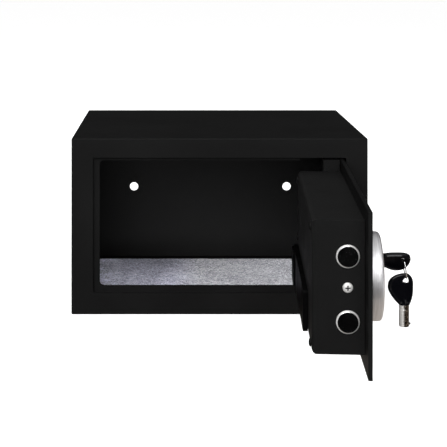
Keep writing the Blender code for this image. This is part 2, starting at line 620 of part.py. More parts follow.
def build_wire_harness():
    curve = bpy.data.curves.new("wire_harness", "CURVE")
    curve.dimensions = "3D"
    curve.bevel_depth = WIRE_R * MM
    curve.bevel_resolution = 2
    curve.use_fill_caps = True
    shape = curve_shape(curve, WIRE_PATH)
    bmesh.ops.recalc_face_normals(shape, faces=shape.faces)
    place("wire_harness", mesh_of("wire_harness", shape), (0, 0, 0), DOOR, WIRE_BLACK,
          smooth=60.0)


def build_batteries():
    """The tray and two rows of three cells."""
    tray = box("battery_tray", (BAY_L - TRAY_WALL, TRAY_FRONT, BAY_B - TRAY_WALL),
               (BAY_R + TRAY_WALL, BOX_Y - BOX_TH - GAP, BAY_T + TRAY_WALL), DOOR, PLASTIC)
    cut(tray, box("cut_tray", (BAY_L, TRAY_FLOOR, BAY_B), (BAY_R, BOX_Y + 3, BAY_T), DOOR))
    for i in range(6):
        row, column = divmod(i, 3)
        left = CELL_X + column * CELL_STEP_X
        at = (0, CELL_Y, CELL_Z + row * CELL_STEP_Z)
        cell = rod("battery_cell_%d" % (i + 1), X, at, CELL_R, left,
                   left + CELL_LEN - CELL_TIP_LEN, DOOR, CELL_GREY, sides=24)
        join(cell, rod("tool_cell_tip_%d" % (i + 1), X, at, CELL_TIP_R, left + 40,
                       left + CELL_LEN, DOOR, sides=16))


def build_battery_cover():
    """The lid, with a raised grooved pad at the hinge end and two clips."""
    lid = box("battery_cover", (LID_L, BOX_Y + GAP, LID_B), (LID_R, BOX_Y + 5, LID_T), DOOR,
              PLASTIC, rounded=along(Y), radius=3.0, segments=3)
    join(lid, box("tool_lid_pad", (PAD_L, BOX_Y + 4, LID_B + PAD_INSET),
                  (LID_R - PAD_INSET, BOX_Y + 7.2, LID_T - PAD_INSET), DOOR,
                  rounded=along(Y), radius=2.5))
    for i in range(3):
        x = GROOVE_X + GROOVE_STEP * i
        cut(lid, box("cut_lid_groove_%d" % i, (x - 1, BOX_Y + 6.3, 51),
                     (x + 1, BOX_Y + 9, 78), DOOR))
    for name, x in CLIPS:
        join(lid, box("tool_lid_clip_" + name, (x - 4, BOX_Y - 1.2, 78.4),
                      (x + 4, BOX_Y + 1, 80.1), DOOR))


# ================================================================ front disc and lock
DISC_X, DISC_Z, DISC_R, DISC_OUT = -76.0, 102.0, 42.0, 14.5
FACE_Y, FACE_R, FACE_TH = -12.0, 37.6, 2.2
WINDOW_HALF_W, WINDOW_B, WINDOW_T = 12.0, 27.2, 32.8    # from the disc's centre
KEY_COLS, KEY_ROWS = (-12.0, 0.0, 12.0), (1.0, -8.0, -17.0, -26.0)
BUTTON_W, BUTTON_H, BUTTON_FLANGE = 9.4, 6.4, 0.9
SLOT_SIZE = Vector((3.2, 9.0, 6.9))         # nib slot: width, depth, radial length
CAM_FRONT, CAM_BACK, CAM_HALF_W, CAM_LEN = 9.0, 10.5, 5.5, 26.0

# turned profiles: radius, y from the door's front plane
BEZEL = ((39.2, -DISC_OUT), (40.8, -DISC_OUT + 0.5), (41.6, -DISC_OUT + 1.6),
         (41.6, -2.6), (DISC_R, -2.2), (DISC_R, -GAP), (34.5, -GAP), (34.5, -2.6),
         (38.0, -3.4), (38.0, -DISC_OUT + 1.2), (38.5, -DISC_OUT))
LOCK_BODY = ((5.2, -13.8), (9.0, -13.8), (9.5, -13.3), (9.5, FACE_Y - GAP),
             (LOCK_R, FACE_Y - GAP), (LOCK_R, 8.2), (6.7, 8.2), (6.7, -11.8), (5.2, -11.8))
LOCK_PLUG = ((0, -12.8), (2.9, -12.8), (3.2, -12.5), (3.2, 6.5), (6.4, 6.5), (6.4, 8.7),
             (2.8, 8.7), (2.8, 12.0), (0, 12.0))


def build_keypad():
    """The bezel ring, the face plate, its window and its buttons."""
    disc_at = (DISC_X, 0, DISC_Z)
    turned("bezel_ring", BEZEL, disc_at, DOOR, SATIN, steps=56, closed=True)
    face = rod("keypad_plate", Y, disc_at, FACE_R, FACE_Y, -3.8, DOOR, PLASTIC, sides=52)
    cut(face,
        rod("cut_face_back", Y, disc_at, FACE_R - 2.0, FACE_Y + FACE_TH, 2, DOOR, sides=52),
        rod("cut_face_lock", Y, (LOCK_X, 0, LOCK_Z), LOCK_R + GAP, FACE_Y - 4, 0, DOOR),
        box("cut_face_window", (DISC_X - WINDOW_HALF_W, FACE_Y - 3, DISC_Z + WINDOW_B),
            (DISC_X + WINDOW_HALF_W, FACE_Y + 5, DISC_Z + WINDOW_T), DOOR))
    box("display_window",
        (DISC_X - WINDOW_HALF_W + GAP, FACE_Y + 0.4, DISC_Z + WINDOW_B + GAP),
        (DISC_X + WINDOW_HALF_W - GAP, FACE_Y + 2.0, DISC_Z + WINDOW_T - GAP), DOOR, WINDOW_RED)
    spots = [(DISC_X + column, DISC_Z + row) for row in KEY_ROWS for column in KEY_COLS]
    for number, (x, z) in enumerate(spots, 1):
        build_button(number, x, z, face)


def build_button(number, x, z, face):
    """A button in its hole in the face, held by a flange behind the face."""
    def around(name, margin, front, back, **extra):
        half_w, half_h = BUTTON_W / 2 + margin, BUTTON_H / 2 + margin
        return box("%s_%d" % (name, number), (x - half_w, FACE_Y + front, z - half_h),
                   (x + half_w, FACE_Y + back, z + half_h), DOOR, **extra)

    cut(face, around("cut_face_button", GAP, -3, 5))
    button = around("button", 0.0, -1.5, 3.5, look=BUTTON_BLACK,
                    rounded=facing(y=-1), radius=0.5, segments=1)
    join(button, around("tool_button", BUTTON_FLANGE, 2.6, 4.0))


def build_cam_lock():
    """A housing with a collar in front and a wide chamber, its plug, nut and cam."""
    lock_at = (LOCK_X, 0, LOCK_Z)
    housing = turned("cam_lock_body", LOCK_BODY, lock_at, DOOR, CHROME, closed=True)
    # the slot runs from the axis along the short side of the key's grip
    middle = Vector((LOCK_X, -15.5, LOCK_Z)) + GRIP_UP * SLOT_SIZE.z / 2
    slot = box("cut_lock_nib_slot", middle - SLOT_SIZE / 2, middle + SLOT_SIZE / 2, DOOR)
    slot.rotation_euler = (0.0, -KEY_TILT, 0.0)
    cut(housing, slot)
    turned("lock_plug", LOCK_PLUG, lock_at, LOCK, CHROME, steps=32)
    nut = rod("lock_nut", Y, lock_at, 11.0, SEAT_Y, 7.8, DOOR, STEEL, sides=6, smooth=20.0)
    cut(nut, rod("cut_lock_nut", Y, lock_at, LOCK_R + GAP, 0, 12, DOOR))
    cam = rod("lock_cam", Y, lock_at, 6.0, CAM_FRONT, CAM_BACK, LOCK, STEEL, sides=28)
    join(cam, box("tool_cam_arm", (LOCK_X - CAM_HALF_W, CAM_FRONT, LOCK_Z - CAM_LEN),
                  (LOCK_X + CAM_HALF_W, CAM_BACK, LOCK_Z), LOCK, rounded=along(Y), radius=3.0))
    cut(cam, rod("cut_cam", Y, lock_at, 3.1, 6, 14, LOCK, sides=24))


# ================================================================ keys
BOW_LEN, BOW_TH, BOW_SHORT, BOW_LONG = 30.0, 5.0, 8.7, 15.3
CROWN_S = 2.0                               # where the two arcs of the grip meet
SHORT_ARC_T, LONG_ARC_T = 20.4, 19.0        # arc centres, away from the barrel
ARC_STEPS = 7
BARREL_R, BORE_R, BARREL_LEN = 4.8, 3.6, 20.6
HOLE_S, HOLE_T, HOLE_R = 1.8, 23.2, 3.5
RING_R, RING_WIRE_R = 10.8, 0.7
RING_TURN, RING_LEAN = math.radians(33.0), math.radians(9.0)
RING_DROP = 0.8                             # ring's wire below the centre of the hole
RING_STEPS, WIRE_STEPS = 32, 8


def bow_points():
    """Outline of the key's grip in (s, t): s across (short side positive), t
    away from the barrel.  A lopsided teardrop with two elliptical arcs."""
    points = [(5.1, 0.0), (7.2, 5.4), (8.3, 10.8)]
    for i in range(ARC_STEPS + 1):
        angle = math.radians(90 * i / ARC_STEPS)
        points.append((CROWN_S + (BOW_SHORT - CROWN_S) * math.cos(angle),
                       SHORT_ARC_T + (BOW_LEN - SHORT_ARC_T) * math.sin(angle)))
    for i in range(1, ARC_STEPS + 1):
        angle = math.radians(90 + 85 * i / ARC_STEPS)
        points.append((CROWN_S + (BOW_LONG + CROWN_S) * math.cos(angle),
                       LONG_ARC_T + (BOW_LEN - LONG_ARC_T) * math.sin(angle)))
    return points + [(-15.5, 16.0), (-13.6, 10.8), (-9.7, 5.2), (-5.0, 0.0)]


def build_key(name, frame):
    """A tubular key in its local frame: grip towards -Y with its short side on
    +X, barrel towards +Y with a nib on its +X side."""
    grip = outline(name, bow_points(), -BOW_TH / 2, BOW_TH / 2, (0, 0, 0), frame, PLASTIC)
    # the outline stands in XZ: turn it so that t runs along -Y
    grip.data.transform(Matrix.Rotation(math.pi / 2, 4, "X"))
    grip.data.transform(Matrix.Translation((0.0, -BOW_BASE * MM, 0.0)))
    bevel = grip.modifiers.new("soft_edges", "BEVEL")
    bevel.width = 0.9 * MM
    bevel.segments = 1
    bevel.limit_method = "ANGLE"
    bevel.angle_limit = math.radians(50)

    barrel_end = -BOW_BASE + BARREL_LEN
    axis_at = (0, 0, 0)
    cut(grip, rod("cut_hole_" + name, Z, (HOLE_S, -BOW_BASE - HOLE_T, 0), HOLE_R, -6, 6,
                  frame, sides=20))
    join(grip, rod("tool_barrel_" + name, Y, axis_at, BARREL_R, -BOW_BASE - 2.5, barrel_end,
                   frame, sides=28))
    cut(grip, rod("cut_bore_" + name, Y, axis_at, BORE_R, -BOW_BASE + 0.4, barrel_end + 4,
                  frame, sides=28))
    join(grip, box("tool_nib_" + name, (BARREL_R - 0.7, barrel_end - 3.6, -1.1),
                   (BARREL_R + 1.3, barrel_end - 1.4, 1.1), frame))


def build_lock_key():
    """The key in the lock, its grip's short side along GRIP_UP."""
    axis = Frame("key_axis", LOCK.at, LOCK, rotation=(0.0, -(math.pi / 2 + KEY_TILT), 0.0),
                 local=True)
    build_key("key_in_lock", axis)


def build_key_ring():
    """The ring in the lock key's grip; returns the lowest point of its wire."""
    hole = Vector((LOCK_X, -BOW_BASE - HOLE_T, LOCK_Z)) + GRIP_UP * HOLE_S
    swung = Matrix.Rotation(OPEN_ANGLE, 3, "Z") @ (hole - DOOR.at)
    hang = DOOR.at + swung - Vector((0.0, 0.0, RING_DROP))

    # ring axes: along the wire at the hole, from the hole to the centre, across
    wire = Vector((0.0, math.cos(RING_TURN), math.sin(RING_TURN)))
    down = Vector((math.sin(RING_LEAN), math.cos(RING_LEAN) * math.sin(RING_TURN),
                   -math.cos(RING_LEAN) * math.cos(RING_TURN)))
    normal = wire.cross(down)
    offset = down * RING_R                  # from the hanging point to the centre

    shape = bmesh.new()
    loops = []
    for i in range(RING_STEPS):
        angle = 2 * math.pi * i / RING_STEPS
        outward = down * math.cos(angle) + wire * math.sin(angle)
        loop = []
        for j in range(WIRE_STEPS):
            around = 2 * math.pi * j / WIRE_STEPS
            loop.append(shape.verts.new(
                offset + outward * (RING_R + RING_WIRE_R * math.cos(around))
                + normal * RING_WIRE_R * math.sin(around)))
        loops.append(loop)
    for i in range(RING_STEPS):
        this, following = loops[i], loops[(i + 1) % RING_STEPS]
        for j in range(WIRE_STEPS):
            k = (j + 1) % WIRE_STEPS
            shape.faces.new((this[j], following[j], following[k], this[k]))
    bmesh.ops.recalc_face_normals(shape, faces=shape.faces)
    put("key_ring", shape, hang, None, CHROME, 60.0)

    drop = Vector((0.0, 0.0, -1.0))
    lowest = (drop - normal * drop.dot(normal)).normalized()
    return hang + offset + lowest * RING_R


def build_spare_key(low):
    """The key that hangs from the ring's lowest point, barrel down."""
    Frame("spare_key_pivot", low)
    hole_drop = HOLE_R - RING_WIRE_R - 0.5  # hole's centre below the ring's wire
    axis_at = low + Vector((-HOLE_S, 0.0, -hole_drop - HOLE_T - BOW_BASE))
    axis = Frame("spare_key_axis", axis_at, rotation=(-math.pi / 2, 0.0, 0.0), local=True)
    build_key("spare_key", axis)


# ================================================================ assembly
build_shell()
build_back_panel()
build_door_stop()
build_floor_mat()
build_hinge_mount("top", 1.0)
build_hinge_mount("bottom", -1.0)

build_door_plate()
build_hinge_channel()
build_lock_box_cover()
build_cover_screws()
build_side_screw()

for bolt_end, bolt_z in BOLT_Z.items():
    build_bolt(bolt_end, bolt_z)
build_carriage()
build_guide_studs()
build_motor()
build_pinion()

build_control_board()
build_reset_button()
build_wire_harness()
build_batteries()
build_battery_cover()

build_keypad()
build_cam_lock()

build_lock_key()
build_spare_key(build_key_ring())
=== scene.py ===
import json
import math

import bmesh
import bpy
from mathutils import Matrix, Vector, noise


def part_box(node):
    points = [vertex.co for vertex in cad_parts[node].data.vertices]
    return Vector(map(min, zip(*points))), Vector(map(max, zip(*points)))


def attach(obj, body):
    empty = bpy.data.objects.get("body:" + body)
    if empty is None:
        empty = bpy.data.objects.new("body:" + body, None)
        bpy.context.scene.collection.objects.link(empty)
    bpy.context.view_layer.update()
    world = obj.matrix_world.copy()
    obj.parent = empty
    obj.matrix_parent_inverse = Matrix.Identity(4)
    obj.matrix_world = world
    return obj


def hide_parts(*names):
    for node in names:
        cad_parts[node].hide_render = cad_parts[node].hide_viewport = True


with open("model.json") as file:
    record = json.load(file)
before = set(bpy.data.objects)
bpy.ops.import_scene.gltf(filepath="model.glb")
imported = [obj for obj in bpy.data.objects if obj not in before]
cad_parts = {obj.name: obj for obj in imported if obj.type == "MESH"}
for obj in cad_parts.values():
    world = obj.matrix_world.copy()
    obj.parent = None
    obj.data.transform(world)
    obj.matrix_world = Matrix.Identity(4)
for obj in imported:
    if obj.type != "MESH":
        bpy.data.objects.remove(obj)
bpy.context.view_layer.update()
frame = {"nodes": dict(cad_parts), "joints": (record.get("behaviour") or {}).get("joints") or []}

MM = 0.001
JOINTS = {j["name"]: j for j in frame["joints"]}

# ------------------------------------------------------------------ the frame's own places
BODY_LO, BODY_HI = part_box("body_shell")
FRONT_Y = BODY_LO.y
HINGE = Vector(JOINTS["door_hinge"]["pos_m"])
HINGE.z = 0.0
_in = Vector(JOINTS["battery_cover_lift"]["axis"])          # into the door, world
OPEN = math.atan2(-_in.x, _in.y)                            # door angle at rest
DOOR_M = (Matrix.Translation(HINGE) @ Matrix.Rotation(OPEN, 4, "Z") @ Matrix.Translation(-HINGE))


def P(x, y, z):
    """Closed-door millimetres, y from the front plane, to metres."""
    return Vector((x * MM, FRONT_Y + y * MM, z * MM))


# ------------------------------------------------------------------ node helpers
class Mat:
    def __init__(self, name):
        self.m = bpy.data.materials.new(name)
        self.m.use_nodes = True
        self.nt = self.m.node_tree
        self.b = self.nt.nodes["Principled BSDF"]
        self.out = self.nt.nodes["Material Output"]

    def n(self, kind, **values):
        node = self.nt.nodes.new(kind)
        for k, v in values.items():
            if k in node.inputs:
                node.inputs[k].default_value = v
            else:
                setattr(node, k, v)
        return node

    def l(self, a, b):
        self.nt.links.new(a, b)

    def set(self, **values):
        for k, v in values.items():
            self.b.inputs[k.replace("_", " ")].default_value = v

    def coords(self):
        return self.n("ShaderNodeTexCoord").outputs["Object"]

    def mapping(self, vec, scale=(1, 1, 1), rot=(0, 0, 0), loc=(0, 0, 0)):
        m = self.n("ShaderNodeMapping")
        m.inputs["Scale"].default_value = scale
        m.inputs["Rotation"].default_value = rot
        m.inputs["Location"].default_value = loc
        self.l(vec, m.inputs["Vector"])
        return m.outputs["Vector"]

    def noise(self, vec, scale, detail=2.0, rough=0.5, dist=0.0):
        n = self.n("ShaderNodeTexNoise", Scale=scale, Detail=detail, Roughness=rough, Distortion=dist)
        self.l(vec, n.inputs["Vector"])
        return n.outputs["Fac"]

    def ramp(self, fac, stops):
        r = self.n("ShaderNodeValToRGB")
        e = r.color_ramp.elements
        while len(e) < len(stops):
            e.new(0.5)
        for el, (p, c) in zip(e, stops):
            el.position = p
            el.color = (*c, 1.0) if isinstance(c, tuple) else (c, c, c, 1.0)
        self.l(fac, r.inputs["Fac"])
        return r.outputs["Color"]

    def span(self, fac, lo, hi, a=0.0, b=1.0):
        r = self.n("ShaderNodeMapRange")
        r.inputs["From Min"].default_value = a
        r.inputs["From Max"].default_value = b
        r.inputs["To Min"].default_value = lo
        r.inputs["To Max"].default_value = hi
        self.l(fac, r.inputs["Value"])
        return r.outputs["Result"]

    def math(self, op, a, b=None):
        m = self.n("ShaderNodeMath", operation=op)
        for i, v in enumerate((a, b)):
            if v is None:
                continue
            if isinstance(v, (int, float)):
                m.inputs[i].default_value = v
            else:
                self.l(v, m.inputs[i])
        return m.outputs[0]

    def bump(self, height, strength, distance, chain=None):
        b = self.n("ShaderNodeBump", Strength=strength, Distance=distance)
        self.l(height, b.inputs["Height"])
        if chain is not None:
            self.l(chain, b.inputs["Normal"])
        self.l(b.outputs["Normal"], self.b.inputs["Normal"])
        return b.outputs["Normal"]


_mats = {}


def cached(make):
    def inner(*a, **k):
        key = (make.__name__, a, tuple(sorted(k.items())))
        if key not in _mats:
            _mats[key] = make(*a, **k)
        return _mats[key]
    return inner


@cached
def powder_coat(name="powder_coat", tone=0.0054, rough=0.55, spec=0.05):
    """Fine matt powder coat: orange-peel bump, slight tone and gloss drift."""
    m = Mat(name)
    v = m.coords()
    fine = m.noise(v, 1500.0, 3.0, 0.6)
    broad = m.noise(v, 14.0, 4.0, 0.55)
    speck = m.noise(v, 2600.0, 1.0)
    m.l(m.ramp(m.math("ADD", m.math("MULTIPLY", fine, 0.55), m.math("MULTIPLY", broad, 0.45)),
               [(0.30, tone * 0.72), (0.5, tone), (0.72, tone * 1.35)]), m.b.inputs["Base Color"])
    m.l(m.span(m.math("ADD", m.math("MULTIPLY", broad, 0.6), m.math("MULTIPLY", speck, 0.4)),
               rough - 0.09, rough + 0.12, 0.3, 0.7), m.b.inputs["Roughness"])
    m.set(Specular_IOR_Level=spec)
    first = m.bump(fine, 0.35, 0.00016)
    m.bump(speck, 0.18, 0.00008, first)
    return m.m


@cached
def chrome(name="chrome", tone=0.82, rough=0.07):
    m = Mat(name)
    v = m.coords()
    haze = m.noise(v, 60.0, 4.0, 0.6)
    hair = m.noise(m.mapping(v, (40, 1600, 1600)), 1.0, 2.0)
    m.l(m.ramp(haze, [(0.3, (tone * 0.97, tone * 0.97, tone * 0.98)), (0.7, (tone, tone, tone * 1.01))]),
        m.b.inputs["Base Color"])
    m.l(m.span(m.math("ADD", haze, hair), rough * 0.6, rough * 1.6, 0.7, 1.3), m.b.inputs["Roughness"])
    m.set(Metallic=1.0)
    m.bump(hair, 0.03, 0.00003)
    return m.m


@cached
def zinc(name="zinc_steel", tone=0.55, rough=0.32, tint=(1.0, 0.985, 0.95)):
    m = Mat(name)
    v = m.coords()
    spangle = m.n("ShaderNodeTexVoronoi", Scale=260.0)
    m.l(v, spangle.inputs["Vector"])
    grey = m.n("ShaderNodeRGBToBW")
    m.l(spangle.outputs["Color"], grey.inputs["Color"])
    cloud = m.noise(v, 90.0, 4.0, 0.6)
    both = m.math("ADD", m.math("MULTIPLY", grey.outputs[0], 0.4), m.math("MULTIPLY", cloud, 0.6))
    m.l(m.ramp(both, [(0.25, tuple(tone * 0.8 * t for t in tint)), (0.75, tuple(tone * 1.1 * t for t in tint))]),
        m.b.inputs["Base Color"])
    m.l(m.span(both, rough - 0.08, rough + 0.12, 0.3, 0.7), m.b.inputs["Roughness"])
    m.set(Metallic=1.0)
    m.bump(cloud, 0.08, 0.00005)
    return m.m


@cached
def plastic(name, color, rough=0.4, grain=2200.0, depth=0.12, spec=0.4, coat=0.0):
    m = Mat(name)
    v = m.coords()
    fine = m.noise(v, grain, 2.0, 0.55)
    broad = m.noise(v, 45.0, 3.0)
    m.l(m.ramp(m.math("ADD", m.math("MULTIPLY", fine, 0.5), m.math("MULTIPLY", broad, 0.5)),
               [(0.32, tuple(c * 0.82 for c in color)), (0.68, tuple(c * 1.15 for c in color))]),
        m.b.inputs["Base Color"])
    m.l(m.span(broad, rough * 0.85, rough * 1.15, 0.35, 0.65), m.b.inputs["Roughness"])
    m.set(Specular_IOR_Level=spec, Coat_Weight=coat, Coat_Roughness=0.08)
    m.bump(fine, depth, 0.00008)
    return m.m


@cached
def grip_plastic(name="key_grip_gloss"):
    """Polished black key plastic; on faces turned down the specular and coat fade out, so the floor's reflection is
    painted out there.
    """
    m = Mat(name)
    tc = m.n("ShaderNodeTexCoord")
    v = tc.outputs["Object"]
    fine = m.noise(v, 500.0, 2.0, 0.55)
    broad = m.noise(v, 45.0, 3.0)
    m.l(m.ramp(broad, [(0.32, (0.0011, 0.0011, 0.0018)), (0.68, (0.0015, 0.0015, 0.0025))]), m.b.inputs["Base Color"])
    m.l(m.span(broad, 0.15, 0.20, 0.35, 0.65), m.b.inputs["Roughness"])
    axes = m.n("ShaderNodeSeparateXYZ")
    m.l(tc.outputs["Normal"], axes.inputs[0])
    # painted shade: faces turned down lose their specular and coat, so they show no reflection of the floor
    keep = m.span(axes.outputs["Z"], 0.12, 1.0, -0.40, -0.10)
    m.l(m.math("MULTIPLY", keep, 0.18), m.b.inputs["Specular IOR Level"])
    m.l(m.math("MULTIPLY", keep, 0.12), m.b.inputs["Coat Weight"])
    m.set(Coat_Roughness=0.08)
    m.bump(fine, 0.03, 0.00008)
    return m.m


@cached
def felt(name="felt_mat"):
    """Needled grey felt: light and dark fibres laid in all directions."""
    m = Mat(name)
    v = m.coords()
    a = m.noise(m.mapping(v, (260, 620, 900), (0, 0, 0.5)), 1.0, 3.0, 0.65, 0.9)
    b = m.noise(m.mapping(v, (640, 250, 900), (0, 0, 0.35)), 1.0, 3.0, 0.65, 0.9)
    c = m.noise(v, 330.0, 4.0, 0.72, 1.2)
    fine = m.noise(v, 1500.0, 3.0, 0.6)
    patch = m.noise(v, 17.0, 2.0, 0.6)
    fib = m.math("MAXIMUM", a, b)
    tot = m.math("ADD", m.math("MULTIPLY", fib, 0.34), m.math("MULTIPLY", c, 0.52))
    tot = m.math("ADD", tot, m.math("MULTIPLY", fine, 0.14))
    tot = m.math("ADD", tot, m.math("MULTIPLY", m.math("SUBTRACT", patch, 0.5), 0.12))
    tone = m.ramp(tot, [(0.40, (0.026, 0.026, 0.044)), (0.465, (0.13, 0.13, 0.175)),
                        (0.53, (0.45, 0.45, 0.50)), (0.63, (0.90, 0.90, 0.93))])
    # painted light and shade: the base colour and the sheen are scaled up at the far left, where the wall's shadow
    # falls, and towards the right, and scaled down towards the back; a darker, bluer patch lies on the left towards the
    # back
    place = m.n("ShaderNodeSeparateXYZ")
    m.l(v, place.inputs[0])
    px, py = place.outputs["X"], place.outputs["Y"]
    across = m.math("ADD", m.span(px, 1.52, 0.95, -0.133, -0.080), m.span(px, 0.0, 0.52, 0.020, 0.085))
    even = m.math("MULTIPLY", m.span(px, 0.0, 1.0, 0.0, 0.07), m.span(py, -0.23, 0.18, -0.012, 0.083))
    along = m.math("MULTIPLY", m.span(py, 0.93, 0.61, -0.012, 0.083), m.math("ADD", even, 1.0))
    painted_light = m.math("MULTIPLY", across, along)
    back = m.math("SUBTRACT", 0.083, py)
    slant = m.math("ADD", px, m.math("MULTIPLY", m.math("MULTIPLY", back, back), 3.7))
    dark_zone = m.math("MULTIPLY", m.span(px, 0.0, 1.0, -0.145, -0.118), m.span(slant, 1.0, 0.0, -0.062, -0.020))
    painted_light = m.math("MULTIPLY", painted_light, m.math("SUBTRACT", 1.0, m.math("MULTIPLY", dark_zone, m.span(py, 0.37, 0.47, -0.012, 0.083))))
    blue = m.math("MULTIPLY", painted_light, m.span(px, 1.20, 1.0, -0.055, -0.018))
    by = m.n("ShaderNodeCombineXYZ")
    m.l(painted_light, by.inputs[0])
    m.l(painted_light, by.inputs[1])
    m.l(blue, by.inputs[2])
    lean = m.n("ShaderNodeVectorMath", operation="MULTIPLY")
    m.l(tone, lean.inputs[0])
    m.l(by.outputs[0], lean.inputs[1])
    m.l(lean.outputs[0], m.b.inputs["Base Color"])
    # the sheen takes the same painted light and shade
    m.l(m.math("MULTIPLY", painted_light, 0.25), m.b.inputs["Sheen Weight"])
    m.set(Roughness=0.95, Specular_IOR_Level=0.1, Sheen_Roughness=0.6)
    m.bump(tot, 0.7, 0.0006)
    return m.m


@cached
def turned_metal(name, centre, axis, tone=(0.70, 0.695, 0.68), rough=0.27, streak=1.0):
    """Metal turned on a lathe: fine rings about an axis through centre (world)."""
    m = Mat(name)
    v = m.coords()
    rel = m.n("ShaderNodeVectorMath", operation="SUBTRACT")
    m.l(v, rel.inputs[0])
    rel.inputs[1].default_value = centre
    dot = m.n("ShaderNodeVectorMath", operation="DOT_PRODUCT")
    m.l(rel.outputs[0], dot.inputs[0])
    dot.inputs[1].default_value = axis
    length = m.n("ShaderNodeVectorMath", operation="LENGTH")
    m.l(rel.outputs[0], length.inputs[0])
    r2 = m.math("SUBTRACT", m.math("MULTIPLY", length.outputs["Value"], length.outputs["Value"]),
                m.math("MULTIPLY", dot.outputs["Value"], dot.outputs["Value"]))
    r = m.math("SQRT", m.math("MAXIMUM", r2, 0.0))
    comb = m.n("ShaderNodeCombineXYZ")
    m.l(m.math("MULTIPLY", r, 4200.0), comb.inputs[0])
    m.l(m.math("MULTIPLY", dot.outputs["Value"], 4200.0), comb.inputs[1])
    # a slow drift round the ring, so a streak fades in and out
    around = m.mapping(rel.outputs[0], (55, 55, 55))
    add = m.n("ShaderNodeVectorMath", operation="ADD")
    m.l(comb.outputs[0], add.inputs[0])
    m.l(around, add.inputs[1])
    rings = m.noise(add.outputs[0], 1.0, 3.0, 0.7)
    cloud = m.noise(v, 55.0, 3.0)
    wide = m.n("ShaderNodeVectorMath", operation="SCALE")
    m.l(add.outputs[0], wide.inputs[0])
    wide.inputs["Scale"].default_value = 0.27
    bands = m.noise(wide.outputs[0], 1.0, 2.0, 0.5)
    both = m.math("ADD", m.math("MULTIPLY", rings, 0.55), m.math("MULTIPLY", bands, 0.45))
    m.l(m.ramp(both, [(0.34, tuple(t * 0.74 for t in tone)), (0.66, tuple(min(1.0, t * 1.14) for t in tone))]),
        m.b.inputs["Base Color"])
    m.l(m.span(m.math("ADD", m.math("MULTIPLY", rings, 0.7), m.math("MULTIPLY", cloud, 0.3)),
               rough - 0.08, rough + 0.14, 0.3, 0.7), m.b.inputs["Roughness"])
    m.set(Metallic=1.0)
    m.bump(rings, 0.16 * streak, 0.00006)
    return m.m


@cached
def bright_rim(name="bright_rim", tone=0.76, rough=0.34):
    """Pale half-metallic satin plating. On a chrome bolt's end chamfer it is a painted highlight, so the chamfer shows
    bright from every side.
    """
    m = Mat(name)
    v = m.coords()
    fine = m.noise(v, 2600.0, 2.0)
    m.l(m.ramp(fine, [(0.3, (tone * 0.87, tone * 0.862, tone * 0.842)), (0.7, (tone * 1.1, tone * 1.09, tone * 1.075))]), m.b.inputs["Base Color"])
    m.l(m.span(fine, rough - 0.08, rough + 0.08, 0.3, 0.7), m.b.inputs["Roughness"])
    m.set(Metallic=0.45)
    m.bump(fine, 0.1, 0.00004)
    return m.m


@cached
def barrel_metal(name, along, shaded_flank):
    """Plated key tube with brown pits; one flank is painted dark brown as painted shade and the other pale as a painted
    reflection.
    """
    m = Mat(name)
    tc = m.n("ShaderNodeTexCoord")
    v = tc.outputs["Object"]
    dot = m.n("ShaderNodeVectorMath", operation="DOT_PRODUCT")
    m.l(tc.outputs["Normal"], dot.inputs[0])
    dot.inputs[1].default_value = Vector(shaded_flank).normalized()
    pits = m.noise(v, 1100.0, 3.0, 0.65)
    rings = m.noise(m.mapping(v, tuple(2600.0 if abs(c) > 0.7 else 130.0 for c in along)), 1.0, 2.0)
    # painted shade and reflection: faces turned towards the shaded flank go dark brown with pits, the others pale
    dark_zone = m.span(m.math("ADD", dot.outputs["Value"], m.math("MULTIPLY", m.math("SUBTRACT", pits, 0.5), 0.5)),
                  0.0, 1.0, 0.42, 0.66)
    lit_flank = m.ramp(rings, [(0.3, (0.74, 0.72, 0.69)), (0.7, (0.94, 0.92, 0.89))])
    brown = m.ramp(pits, [(0.40, (0.010, 0.007, 0.005)), (0.58, (0.040, 0.028, 0.019)), (0.66, (0.48, 0.42, 0.34))])
    mix = m.n("ShaderNodeMix", data_type="RGBA")
    m.l(dark_zone, mix.inputs["Factor"])
    m.l(lit_flank, mix.inputs[6])
    m.l(brown, mix.inputs[7])
    m.l(mix.outputs[2], m.b.inputs["Base Color"])
    m.l(m.span(dark_zone, 0.42, 0.30), m.b.inputs["Roughness"])
    m.l(m.span(dark_zone, 0.55, 0.95), m.b.inputs["Metallic"])
    m.bump(m.math("ADD", rings, pits), 0.15, 0.00005)
    return m.m


@cached
def smoked(name="smoked_window", color=(0.020, 0.003, 0.003)):
    m = Mat(name)
    v = m.coords()
    cloud = m.noise(v, 300.0, 3.0)
    m.l(m.ramp(cloud, [(0.3, tuple(c * 0.8 for c in color)), (0.7, tuple(c * 1.3 for c in color))]),
        m.b.inputs["Base Color"])
    m.l(m.span(cloud, 0.04, 0.10, 0.3, 0.7), m.b.inputs["Roughness"])
    m.set(Specular_IOR_Level=0.5, Coat_Weight=0.5, Coat_Roughness=0.03)
    return m.m


@cached
def print_paint(name="print_white", color=(0.62, 0.62, 0.6)):
    m = Mat(name)
    v = m.coords()
    c = m.noise(v, 1800.0, 2.0)
    m.l(m.ramp(c, [(0.3, tuple(x * 0.9 for x in color)), (0.7, tuple(x * 1.05 for x in color))]),
        m.b.inputs["Base Color"])
    m.set(Roughness=0.55)
    m.bump(c, 0.08, 0.00003)
    return m.m


# ------------------------------------------------------------------ mesh helpers
def new_ob(name, bm, smooth=None):
    me = bpy.data.meshes.new(name)
    bm.to_mesh(me)
    bm.free()
    ob = bpy.data.objects.new(name, me)
    bpy.context.scene.collection.objects.link(ob)
    if smooth is not None:
        me.shade_smooth()
        me.set_sharp_from_angle(angle=math.radians(smooth))
    return ob


